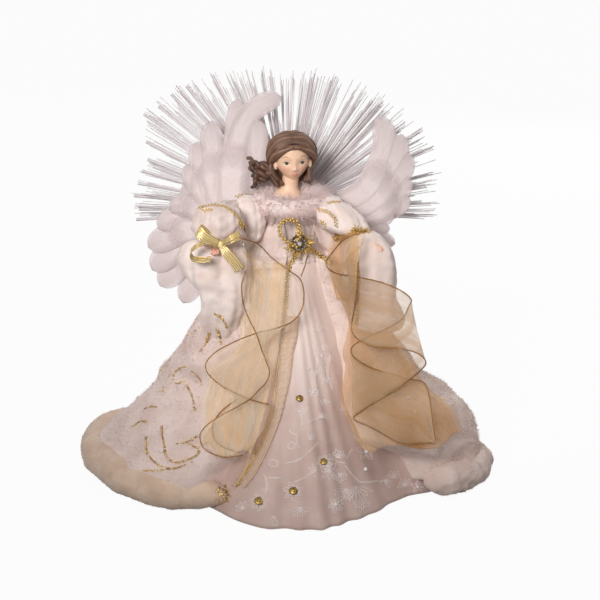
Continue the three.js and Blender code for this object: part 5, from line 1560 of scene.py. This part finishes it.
ribbon = dict(columns=8, steps=4, settle=24, wall=0.25, wireRadius=0.46, wireLift=2, wireRows=19,
              liftFrom=15, liftTo=4, curl=1.2)
ribbonEdges = dict(
    right=[
        (240, 238, 246, 271), (258, 244, 242, 283), (272, 258, 242, 296), (288, 270, 244, 306),
        (300, 279, 248, 317), (304, 293, 252, 325), (302, 309, 256, 333), (293, 321, 259, 342),
        (277, 328, 262, 351), (257, 333, 266, 361), (236, 341, 269, 369), (217, 351, 269, 376),
        (207, 361, 265, 384), (206, 370, 258, 391), (213, 379, 250, 399), (225, 388, 237, 407),
        (240, 395, 222, 415), (252, 400, 207, 425), (262, 403, 200, 435), (269, 405, 203, 447),
        (268, 415, 213, 454), (263, 430, 226, 457), (254, 443, 243, 455),
    ],
    left=[
        (366, 231, 358, 262), (345, 239, 357, 285), (332, 253, 355, 305), (326, 264, 352, 322),
        (335, 273, 352, 332), (357, 277, 360, 341), (380, 282, 375, 347), (400, 290, 396, 348),
        (411, 299, 417, 353), (409, 306, 426, 362), (402, 319, 420, 371), (386, 329, 404, 384),
        (368, 337, 388, 395), (354, 345, 368, 407), (351, 352, 354, 417), (356, 359, 356, 421),
        (372, 368, 368, 426), (392, 374, 381, 433), (410, 379, 395, 441), (423, 382, 406, 444),
        (429, 394, 412, 444), (434, 430, 425, 443), (436, 440, 434, 443),
    ],
)
innerWire = [
    (243, 398), (234, 404), (222, 413), (214, 424), (212, 434), (216, 444), (226, 451), (240, 455),
]


def laidRows(edges, columns, steps, liftAt, settle, only=None, fallback=-60.0):
    tops, bottoms = (pixelPath([edge[part] for edge in edges], steps) for part in (slice(2), slice(2, 4)))
    rays, depths = [], []
    for i, (top, bottom) in enumerate(zip(tops, bottoms)):
        row = [[lerp(a, b, k / columns) for a, b in zip(top, bottom)] for k in range(columns + 1)]
        rays.append([eyeRay(px, py) for px, py in row])
        share = i / (len(tops) - 1)
        depths.append([castDown(px, py, only, fallback)[2] - liftAt(share, k / columns)
                       for k, (px, py) in enumerate(row)])
    for _ in range(settle):
        before = [row[:] for row in depths]
        for i, row in enumerate(before):
            for k, far in enumerate(row):
                near = [before[j][k] for j in (i - 1, i + 1) if 0 <= j < len(before)]
                near += [row[j] for j in (k - 1, k + 1) if 0 <= j <= columns]
                depths[i][k] = min(far, sum(near) / len(near))
    return [[eyePlace + ray * far for ray, far in zip(*pair)] for pair in zip(rays, depths)]


def rowSheet(rows):
    last, columns = len(rows) - 1, len(rows[0]) - 1
    return gridSheet(columns, last, lambda u, v: rows[round(v * last)][round(u * columns)])


# Cloth under the arms, and the organza gathered under the left cuff

underLayers = [gownSurface] + surfaces[1:3] + [bodiceSurface]
drapes = [
    dict(name="right_underarm_drape", finish=tulle, slot="white_cloth", on=underLayers,
         edges=[(246, 229, 284, 222), (244, 244, 287, 238), (244, 258, 288, 254),
                (246, 270, 284, 268)]),
    dict(name="left_underarm_drape", finish=tulle, slot="white_cloth", on=underLayers,
         edges=[(312, 222, 350, 230), (318, 240, 354, 244), (324, 255, 353, 259),
                (330, 266, 350, 270)]),
    dict(name="left_organza_drape", finish=organzaDeep, slot="gold_organza", on=None,
         edges=[(333, 237, 357, 231), (328, 256, 358, 248), (331, 277, 358, 273),
                (337, 300, 357, 298)]),
]
drape = dict(fromDepth=-6, pleat=0.8, pleats=17, columns=24, steps=6, settle=8, lift=1, looser=3,
             wall=0.5)


def makeDrape(name, finish, slot, on, edges):
    def liftAt(share, across):
        wave = sin(drape["pleats"] * across + 3 * share)
        return drape["lift"] + drape["looser"] * share + drape["pleat"] * wave
    rows = laidRows(edges, drape["columns"], drape["steps"], liftAt, drape["settle"], on, drape["fromDepth"])
    shape = rowSheet(rows)
    keepSurface(shape)
    makeCloth(name, shape, "draped", [bodicePiece], finish, slot, wall=drape["wall"], offset=0)


for kind in drapes:
    makeDrape(**kind)
print("drapes")

# The ribbons lie on the drapes, so they come after them


def makeRibbon(side):
    def liftAt(share, across):
        curl = ribbon["curl"] * sin(9 * share + 2 * across)
        return lerp(ribbon["liftFrom"], ribbon["liftTo"], share) + curl
    rows = laidRows(ribbonEdges[side], ribbon["columns"], ribbon["steps"], liftAt, ribbon["settle"])
    shape = rowSheet(rows)
    area = clothArea(shape)
    piece = makePiece(side + "_gauze_ribbon", shape, ribbonGauzeLitAndShaded[side], "gold_organza",
                      [side + "_wired_ribbon"], wall=ribbon["wall"], offset=0)
    edges = [[row[0] for row in rows], [row[-1] for row in rows]]
    if side == "right":
        edges[0] = edges[0][:ribbon["steps"] * ribbon["wireRows"] + 1]
        edges.append(laidLine(innerWire, 4, ribbon["wireLift"]))
    wires = strands(side + "_ribbon_wires", edges, ribbon["wireRadius"], wireCopper, "gold_braid", sides=2)


for side in ("right", "left"):
    makeRibbon(side)
print("wired ribbons")

# Trims laid on the front: pleated selvage and its gold edge, along lines of the photograph

selvage = dict(  # line and half in pixels, the rest in mm
    line=[(291, 316), (289.7, 337), (286.5, 352), (284.7, 376), (280, 400), (276, 418), (266.6, 443.6),
          (255, 469), (243, 487)],
    half=8.5, narrow=0.25, lift=1.4, pleat=0.5, pleats=46, columns=5, wall=0.3,
    edging=0.36, edgingShifts=(0, 2.2), edgingLift=0.9, hemLift=0.6, hemThick=0.6)
hemLines = [
    [(256, 440), (253, 458), (245, 476), (236, 488)], [(252, 448), (249, 464), (241, 479), (234, 489)],
    [(247, 452), (244, 467), (238, 479), (232, 487)],
]
selvageGold = [
    (282, 330), (279, 352), (275, 376), (272.7, 400), (269, 418), (259.8, 443.6), (247.7, 469), (236, 487),
]


def offsetEdges(line, half, steps, narrow):
    path = pixelPath(line, steps)
    edges = []
    for i, (x, y) in enumerate(path):
        ax, ay = path[max(i - 1, 0)]
        bx, by = path[min(i + 1, len(path) - 1)]
        long = math.hypot(bx - ax, by - ay)
        nx, ny = (by - ay) / long, (ax - bx) / long
        reach = half * lerp(1.0, narrow, i / (len(path) - 1))
        edges.append((x - nx * reach, y - ny * reach, x + nx * reach, y + ny * reach))
    return edges


def makeSelvage():
    def liftAt(share, across):
        return selvage["lift"] + selvage["pleat"] * sin(selvage["pleats"] * pi * share + 5 * across)
    edges = offsetEdges(selvage["line"], selvage["half"], 8, selvage["narrow"])
    rows = laidRows(edges, selvage["columns"], 2, liftAt, 0)
    shape = rowSheet(rows)
    area = clothArea(shape)
    piece = makePiece("pleated_selvage", shape, selvageGauze, "white_cloth", wall=selvage["wall"], offset=0)
    lines = []
    for shift in selvage["edgingShifts"]:
        line = [castDown(px + shift, py) for px, py in pixelPath(selvageGold, 5)]
        lines.append([place + normal * selvage["edgingLift"] for place, normal, _ in line])
    for run in hemLines:
        lines.append([(spot, selvage["hemThick"]) for spot in laidLine(run, 5, selvage["hemLift"])])
    edging = strands("selvage_edging", lines, selvage["edging"], glitter, "gold_braid", sides=1)


makeSelvage()
print("selvage")

# Gold sequins in scrolls on the plush, sewn stitches on the gown

scrolls = [
    [(209, 333), (206, 343), (200, 352)], [(186, 367), (178, 370), (173, 377), (176, 384), (186, 381)],
    [(187, 386), (192, 397), (195, 411)], [(192, 372), (200, 380), (202, 389)],
    [(145, 409), (151, 407), (158, 408)], [(133, 427), (140, 422), (148, 422)],
    [(146, 438), (146, 447), (148, 455), (158, 465), (173, 469), (193, 462)],
    [(162, 427), (162, 436), (164, 444), (167, 458), (178, 463), (196, 456), (198, 450), (189, 444)],
    [(177, 444), (188, 442), (198, 436)], [(143, 471), (157, 471), (171, 469)],
    [(215, 314), (221, 317), (224, 321), (227, 327)], [(217, 330), (220, 337), (221, 345)],
]
scroll = dict(radius=1.3, spacing=1.6, lift=0.6, thick=0.4, skipped=0.12, unsteady=0.25, seed=41)
sequinPatch = dict(middle=(223, 495), half=(8, 10), count=34, lift=0.7)  # middle and half in pixels
backScrolls = dict(right=(128, 152, 176, 200), left=(338, 362, 386, 408), heights=((1, 62), (-1, 104)),
                   points=15)


def addSequin(shape, place, normal, radius, thick, turn, sides=7):
    bmesh.ops.create_cone(
        shape, cap_ends=True, segments=sides, radius1=radius, radius2=radius * 0.72, depth=thick,
        matrix=standing(place, normal, turn))


def sequinRun(shape, hits, rng):
    points = [place + normal * scroll["lift"] for place, normal, _ in hits]
    normals = [normal for _, normal, _ in hits]
    for spot, _, _ in walk(points, scroll["spacing"]):
        nearest = min(range(len(points)), key=lambda i: (points[i] - spot).length)
        tilted = (normals[nearest] + shaken(rng, *[(0, scroll["unsteady"])] * 3)).normalized()
        size, turn = scroll["radius"] * rng.uniform(0.7, 1.15), rng.random()
        if rng.random() > scroll["skipped"]:
            addSequin(shape, spot, tilted, size, scroll["thick"], turn)


def spunHit(tree, angle, z):
    # the plush seen from outside, level with z
    far = skirtPoint(angle, z, 90)
    inward = (skirtPoint(angle, z, 0) - far).normalized()
    place, normal, _, reach = tree.ray_cast(far, inward)
    if place is None:
        return None
    return place, normal if normal.dot(inward) < 0 else -normal, reach


def makeScrolls():
    rng = random.Random(scroll["seed"])
    shape = bmesh.new()
    for line in scrolls:
        sequinRun(shape, castLine(line, 4), rng)
    for tree, side in zip(surfaces[1:3], ("right", "left")):
        for k, degrees in enumerate(backScrolls[side]):
            for flip, base in backScrolls["heights"]:
                hits = []
                for i in range(backScrolls["points"]):
                    t = i / (backScrolls["points"] - 1)
                    angle = radians(degrees + flip * (7 * sin(5.2 * t) * (1 - 0.45 * t) + 3 * t))
                    hits.append(spunHit(tree, angle, base + 24 * t + 5 * cos(5.2 * t) + 4 * (k % 2)))
                if all(hits):
                    sequinRun(shape, hits, rng)
    for _ in range(sequinPatch["count"]):
        turn, reach = rng.uniform(0, tau), sqrt(rng.random())
        (px, py), (halfX, halfY) = sequinPatch["middle"], sequinPatch["half"]
        place, normal, _ = castDown(px + halfX * reach * cos(turn), py + halfY * reach * sin(turn))
        spot = place + normal * sequinPatch["lift"]
        addSequin(shape, spot, normal, rng.uniform(0.8, 1.4), scroll["thick"], turn)
    makePiece("plush_sequins", shape, goldSequin, "gold_braid")


makeScrolls()

stitch = dict(thread=0.24, petal=0.24, lift=0.2, around=16, longest=6, lowest=1.5, turned=1.6,
              sequinThick=0.7, cap=0.45, capThick=0.5, seed=17)
stems = [
    [(298.7, 411.6), (301.9, 423.1), (296.1, 437.1), (298.7, 448.6)],
    [(289, 430.8), (292, 433.5), (296, 434.6)],
    [(301.9, 424.4), (311.4, 420.6), (321.6, 416.7), (329.9, 419.9)],
    [(302.5, 415.5), (305, 410), (307.6, 406.5)],
    [(284, 463.3), (297.4, 460.1), (308.9, 451.2), (319, 441)],
    [(267.4, 477.3), (274, 478), (280.8, 477.3)], [(263.6, 474.1), (266.1, 483), (264.9, 494.5)],
    [(293.3, 481.8), (303.8, 478), (315.3, 469)], [(344.6, 465.2), (351, 474), (358.6, 481.8)],
    [(358.6, 481.8), (368, 482), (377.8, 480.5)], [(345.9, 458.8), (349, 453), (352.2, 448.6)],
    [(353.5, 437.1), (360, 440), (367.5, 444.8)], [(379, 481.8), (385, 480), (391.8, 481.8)],
    [(330, 458), (338, 462), (345, 463)],
    [(272, 516), (276, 520), (277, 525), (273, 525), (271.5, 521), (272.5, 516)],
    [(268, 462), (272, 459.5), (277, 462), (275.5, 466.5), (269.5, 466), (268.5, 463)],
    [(287, 445), (291, 442), (295, 445), (292, 449), (288, 448), (288, 445)],
    [(313, 345), (317, 362), (314, 380), (318, 396)], [(330, 352), (327, 372), (332, 390)],
]
sprigs = [  # middle, first and last degree, number of leaves, length and width in pixels
    ((330, 471), 10, 350, 9, 10, 3), ((356, 487), 200, 345, 8, 17, 3.2), ((338, 458), 20, 160, 6, 9, 2.4),
    ((385, 482), -50, 60, 5, 9, 2.4), ((346, 407), 40, 320, 6, 6, 2.4), ((322, 418), 20, 120, 4, 6, 2.2),
    ((300, 412), 40, 150, 4, 6, 2), ((316, 470), 120, 260, 4, 8, 2.4), ((268, 490), 100, 250, 3, 7, 2.4),
    ((300, 508), 200, 340, 6, 10, 2.8), ((405, 486), 20, 190, 6, 8, 2.4), ((243, 509), 30, 200, 5, 8, 2.4),
    ((310, 440), 30, 110, 4, 7, 2.2), ((318, 375), 30, 150, 4, 6, 2), ((325, 400), 200, 330, 4, 6, 2),
    ((322, 331), 20, 160, 5, 6, 2), ((327, 345), 200, 340, 5, 6, 2), ((318, 353), 30, 330, 6, 5, 2),
    ((330, 362), 20, 180, 5, 6, 2.2), ((321, 367), 180, 350, 5, 6, 2), ((328, 383), 10, 170, 5, 6, 2.2),
    ((340, 474), 190, 350, 7, 9, 2.6), ((346, 489), 190, 330, 8, 13, 2.6), ((394, 478), 30, 150, 5, 8, 2.4),
    ((332, 466), 100, 220, 6, 9, 2.4), ((362, 500), 210, 340, 7, 10, 2.6),
]
blooms = [
    ((366.3, 451.8), 5, 9, 5.4), ((293.3, 491.4), 7, 10, 4.4), ((258.9, 502.5), 7, 9, 4.2),
    ((323.5, 462), 6, 7, 3.4), ((418, 487), 5, 7, 4), ((336, 505), 6, 8, 4),
    ((314, 392), 5, 5.5, 3.2),
]
gownSequins = [
    ((299.6, 398.9), 2.7), ((323.5, 462), 2.7), ((293.3, 491.4), 3.1), ((258.9, 501.6), 3.3),
]
paleSequins = [
    ((365.6, 469.3), 1.7), ((408, 398), 1.2), ((415, 412), 1.2), ((350, 318), 1.1), ((366.3, 451.8), 1.3),
    ((418, 487), 1.3), ((336, 505), 1.3), ((314, 392), 1.1), ((322, 356), 1), ((309, 369), 0.9),
]


def petalLoop(px, py, turn, long, wide):
    loop = []
    for k in range(stitch["around"] + 1):
        spin = tau * k / stitch["around"]
        far, off = long / 2 * (1 - cos(spin)), wide / 2 * sin(spin)
        x = px + cos(turn) * far + sin(turn) * off
        y = py - sin(turn) * far + cos(turn) * off
        place, normal, _ = castDown(x, y, [gownSurface])
        loop.append(place + normal * stitch["lift"])
    steps = [(b - a).length for a, b in zip(loop, loop[1:])]
    whole = max(steps) < stitch["longest"] and min(spot.z for spot in loop) > stitch["lowest"]
    return [loop] if whole else []


def makeEmbroidery():
    lines = []
    for stem in stems:
        for shift in (0, 1.3):
            hits = [castDown(px + shift, py + 0.4 * shift, [gownSurface]) for px, py in pixelPath(stem, 6)]
            hits = [hit for hit in hits if hit[0].z > stitch["lowest"]]
            line = [place + normal * stitch["lift"] for place, normal, _ in hits]
            if len(line) > 2:
                lines.append(line)
    strands("gown_stitches", lines, stitch["thread"], embroidery, "white_cloth", sides=1)
    loops = []
    for (px, py), first, last, count, long, wide in sprigs:
        for i in range(count):
            turn = radians(lerp(first, last, i / max(count - 1, 1)))
            loops += petalLoop(px, py, turn, long * (0.85 + 0.15 * (i % 2)), wide)
    for (px, py), count, long, wide in blooms:
        for i in range(count):
            turn = tau * (i + 0.25) / count
            loops += petalLoop(px, py, turn, long, wide)
            loops += petalLoop(px, py, turn, long * 0.72, wide * 0.5)
    strands("gown_leaves", loops, stitch["petal"], embroidery, "white_cloth")
    rng = random.Random(stitch["seed"])
    for name, spots, finish, slotName in (("gown_gold_sequins", gownSequins, buttonGold, "gold_braid"),
                                          ("gown_pale_sequins", paleSequins, pearlSequin, "white_cloth")):
        shape = bmesh.new()
        for (px, py), radius in spots:
            place, normal, _ = castDown(px, py)
            normal = (normal + (eyePlace - place).normalized() * stitch["turned"]).normalized()
            addSequin(shape, place + normal * 0.5 * radius, normal, radius, stitch["sequinThick"],
                      rng.random(), 18)
            addSequin(shape, place + normal * (0.5 * radius + 0.5), normal, radius * stitch["cap"],
                      stitch["capThick"], rng.random(), 12)
        makePiece(name, shape, finish, slotName)


makeEmbroidery()
print("sequins and embroidery")

# Brooch, beaded braid and the bow at the wrist

brooch = dict(
    middle=(9.7, -24, 189), radius=6.6, beads=16, bead=1.15, inner=4.3, innerBeads=12, innerBead=0.72,
    stone=2.4, stoneDeep=1.5, stoneTable=0.55, claws=8, claw=(0.9, 0.45, 0.8, 1),
    plate=dict(radius1=5.9, radius2=4.6, depth=2))


def makeBrooch():
    middle = Vector(brooch["middle"])
    facing = Matrix.Translation(middle) @ Matrix.Rotation(radians(90), 4, "X")
    shape = bmesh.new()

    def at(x, y, z):
        return facing @ Matrix.Translation((x, y, z))
    bmesh.ops.create_cone(shape, cap_ends=True, segments=32, matrix=at(0, 0, -0.4), **brooch["plate"])
    for i in range(brooch["beads"]):
        x, y = polar(tau * i / brooch["beads"], brooch["radius"] - brooch["bead"] * 0.7)
        bead = brooch["bead"] * (1.12 if i % 2 else 0.85)
        bmesh.ops.create_icosphere(shape, subdivisions=2, radius=bead, matrix=at(x, y, 0.2))
    for i in range(brooch["claws"]):
        turn = tau * (i + 0.5) / brooch["claws"]
        x, y = polar(turn, brooch["stone"] + 0.1)
        claw = at(x, y, 1.3) @ Matrix.Rotation(turn, 4, "Z") @ Matrix.Diagonal(brooch["claw"])
        bmesh.ops.create_icosphere(shape, subdivisions=2, radius=1.0, matrix=claw)
    makePiece("brooch_mount", shape, braidSilver, "brooch_metal", ["brooch_setting"])
    shape = bmesh.new()
    bmesh.ops.create_cone(
        shape, cap_ends=True, segments=10, radius1=brooch["stone"],
        radius2=brooch["stone"] * brooch["stoneTable"], depth=brooch["stoneDeep"], matrix=at(0, 0, 1.3))
    for i in range(brooch["innerBeads"]):
        x, y = polar(tau * i / brooch["innerBeads"], brooch["inner"])
        bmesh.ops.create_icosphere(shape, subdivisions=1, radius=brooch["innerBead"], matrix=at(x, y, 0.9))
    stone = makePiece("brooch_crystals", shape, crystal, "crystal", ["brooch_stone"])
    stone.data.shade_flat()


makeBrooch()

beadBraid = dict(bead=1.25, spacing=1.5, swing=0.75, loopDepth=-29.5, lift=1.2, threadLift=0.6,
                 threadRadius=0.4)
braidLoop = [
    (297, 246), (289, 243.5), (283, 238.5), (279.5, 231.5), (280.5, 224.5), (285.5, 220.5), (292, 219.5),
    (297, 223), (299.5, 230), (299, 240),
]
burst = dict(count=70, fromTurn=-170, toTurn=110, long=(7.5, 13), radius=0.28)
frayLine = [(336, 240), (341, 236.5), (350, 234), (358.5, 231), (369.5, 233.5)]
fray = dict(count=150, long=(1.5, 4.2), radius=0.3)
braidTails = [[(303, 247), (313, 252), (322, 258), (330, 264)],
              [(297, 250), (294, 256), (290, 266), (287, 282), (286, 300), (284, 316), (283, 331)],
              [(356, 264), (357, 278), (358, 292), (358, 308), (357, 325)]]
thread = [(307, 256), (305, 266), (301, 277)]


def makeBeadBraid():
    shape = bmesh.new()
    loop = smoothPath([atDepth(px, py, beadBraid["loopDepth"]) for px, py in braidLoop], 8)
    beadChain(shape, loop, beadBraid)
    for tail in braidTails:
        beadChain(shape, laidLine(tail, 5, beadBraid["lift"]), beadBraid)
    makePiece("bead_braid", shape, goldBraid, "gold_braid", ["waist_braid"])
    line = laidLine(thread, 5, beadBraid["threadLift"])
    strands("braid_thread", [line], beadBraid["threadRadius"], wireCopper, "gold_braid")


def makeGoldFibres():
    rng = random.Random(29)
    middle = Vector(brooch["middle"])
    lines = []
    for _ in range(burst["count"]):
        turn = radians(rng.uniform(burst["fromTurn"], burst["toTurn"]))
        x, z = polar(turn, rng.uniform(*burst["long"]))
        lines.append([middle + Vector((x * t, 0.6 - 1.6 * t, z * t)) for t in (0.3, 0.7, 1)])
    strands("brooch_burst", lines, burst["radius"], glitter, "gold_braid")
    lines = []
    hits = castLine(frayLine, 10)
    for _ in range(fray["count"]):
        place, normal, _ = rng.choice(hits)
        root = place + shaken(rng, (0, 1), (0, 0.4), (0, 0.8))
        aim = normal * 0.6 + shaken(rng, (0, 0.7), (0, 0.3), (0.3, 0.6))
        lines.append([root, root + aim.normalized() * rng.uniform(*fray["long"])])
    strands("sleeve_fray", lines, fray["radius"], glitter, "gold_organza")


makeBeadBraid()
makeGoldFibres()

bow = dict(wall=0.35, columns=10, knot=(220.5, 244.5), knotDepth=-55.5, knotHalf=(2.2, 1.9, 2.9), ridges=7,
           ridge=0.1)
bowRuns = [  # pixels and depth along the run; cross direction; width; pinched at the knot
    ([(221, 244.5, -56), (212, 241.5, -58), (204, 237, -59), (198, 231, -57), (200, 230, -54),
      (208, 236, -53), (221, 244.5, -55)], (0.5, 0, 0.86), 8.6, True),
    ([(221, 244.5, -56), (230, 240, -59), (237, 236.5, -58), (240.5, 235.5, -55.5), (236, 237.5, -53),
      (221, 244.5, -55)], (-0.42, 0, 0.9), 6.8, True),
    ([(220, 246, -55), (207, 242.5, -57), (197, 246, -58), (190.5, 252, -57), (193, 258.5, -56),
      (202, 260, -56), (211, 259, -57)], (0.1, 0.8, 0.6), 5.4, False),
    ([(221, 246, -56.5), (227, 254, -58.5), (234, 262, -58.5), (240, 270.5, -57)], (0.72, 0.1, 0.6), 7.4,
     False),
]


def makeBow():
    shape = bmesh.new()
    shape.loops.layers.uv.new("UVMap")
    for run, across, width, pinched in bowRuns:
        path = smoothPath([atDepth(px, py, y) for px, py, y in run], 6)
        across = Vector(across).normalized()
        last = len(path) - 1

        def place(u, v):
            share = lerp(0.6, 1.0, ease(v, 0, 0.3))
            if pinched:
                share = 0.35 + 0.65 * sin(pi * v) ** 0.6
            ripple = Vector((0, 0.35 * sin(9 * u), 0))
            return path[round(v * last)] + across * (u - 0.5) * width * share + ripple
        addPart(shape, gridSheet(bow["columns"], last, place))
    area = clothArea(shape)
    piece = makePiece("wrist_bow_ribbon", shape, stripedGold, "gold_ribbon", ["wrist_bow"],
                      wall=bow["wall"], offset=0)
    shape = bmesh.new()
    addBall(shape, 20, 14)
    middle = atDepth(*bow["knot"], bow["knotDepth"])
    for vert in shape.verts:
        ridge = 1 + bow["ridge"] * cos(bow["ridges"] * math.atan2(vert.co.z, vert.co.y))
        x, y, z = (vert.co[i] * bow["knotHalf"][i] for i in range(3))
        vert.co = middle + Vector((x, y * ridge, z * ridge))
    knot = makePiece("wrist_bow_knot", shape, goldRibbon, "gold_ribbon")


makeBow()
print("brooch, braid and bow")

# Back plate, battery box, switch and lamp: the CAD shapes with rounded edges

rounding = dict(segments=2, flat=radians(2), sharp=radians(32), shade=radians(30))


def roundedNode(name, finish, slotName, body, width):
    shape = bmesh.new()
    shape.from_mesh(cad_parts[name].data)
    bmesh.ops.scale(shape, vec=(1 / mm, 1 / mm, 1 / mm), verts=shape.verts)
    bmesh.ops.remove_doubles(shape, verts=shape.verts, dist=1e-3)
    bmesh.ops.dissolve_limit(shape, angle_limit=rounding["flat"], verts=shape.verts, edges=shape.edges)
    folds = [edge for edge in shape.edges if len(edge.link_faces) == 2]
    sharp = [edge for edge in folds if edge.calc_face_angle() > rounding["sharp"]]
    bmesh.ops.bevel(shape, geom=sharp, offset=width, offset_type="OFFSET", segments=rounding["segments"],
                    profile=0.5, affect="EDGES", material=-1, clamp_overlap=True)
    bmesh.ops.triangulate(shape, faces=[face for face in shape.faces if len(face.verts) > 4])
    piece = makePiece("rounded_" + name, shape, finish, slotName, [name], body)
    piece.data.set_sharp_from_angle(angle=rounding["shade"])


for row in (
    ("battery_box", whitePlastic, "white_plastic", "figure", 0.7),
    ("battery_cover", whitePlastic, "white_plastic", "cover", 0.5),
    ("power_switch", blackPlastic, "black_plastic", "switch", 0.35),
    ("lamp_housing", whitePlastic, "white_plastic", "figure", 0.6),
    ("fibre_ferrule", steelPlain, "steel", "figure", 0.4),
    ("box_bracket", whitePlastic, "white_plastic", "figure", 0.4),
    ("back_plate", whitePlastic, "white_plastic", "figure", 0.5),
):
    roundedNode(*row)

plainNodes = [  # CAD nodes shown as they are, with their finish
    (board, "skirt_cone right_wing_card left_wing_card"), (corePlastic, "torso_core"),
    (whitePlastic, "cone_cap halo_hub"), (blackPlastic, "fibre_bundle"),
    (cellGreen, "cell_1 cell_2 cell_3"), (lensClear, "lamp_led"),
    (steelPlain, "right_arm_wire left_arm_wire left_plate_screw right_plate_screw right_wing_rivet"),
    (steelPlain, "left_wing_rivet cover_hinge_pin upper_contact_strip lower_contact_strip"),
]
for finish, names in plainNodes:
    for name in names.split():
        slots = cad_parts[name].data.materials
        slots.clear()
        slots.append(finish)
print("plain nodes")
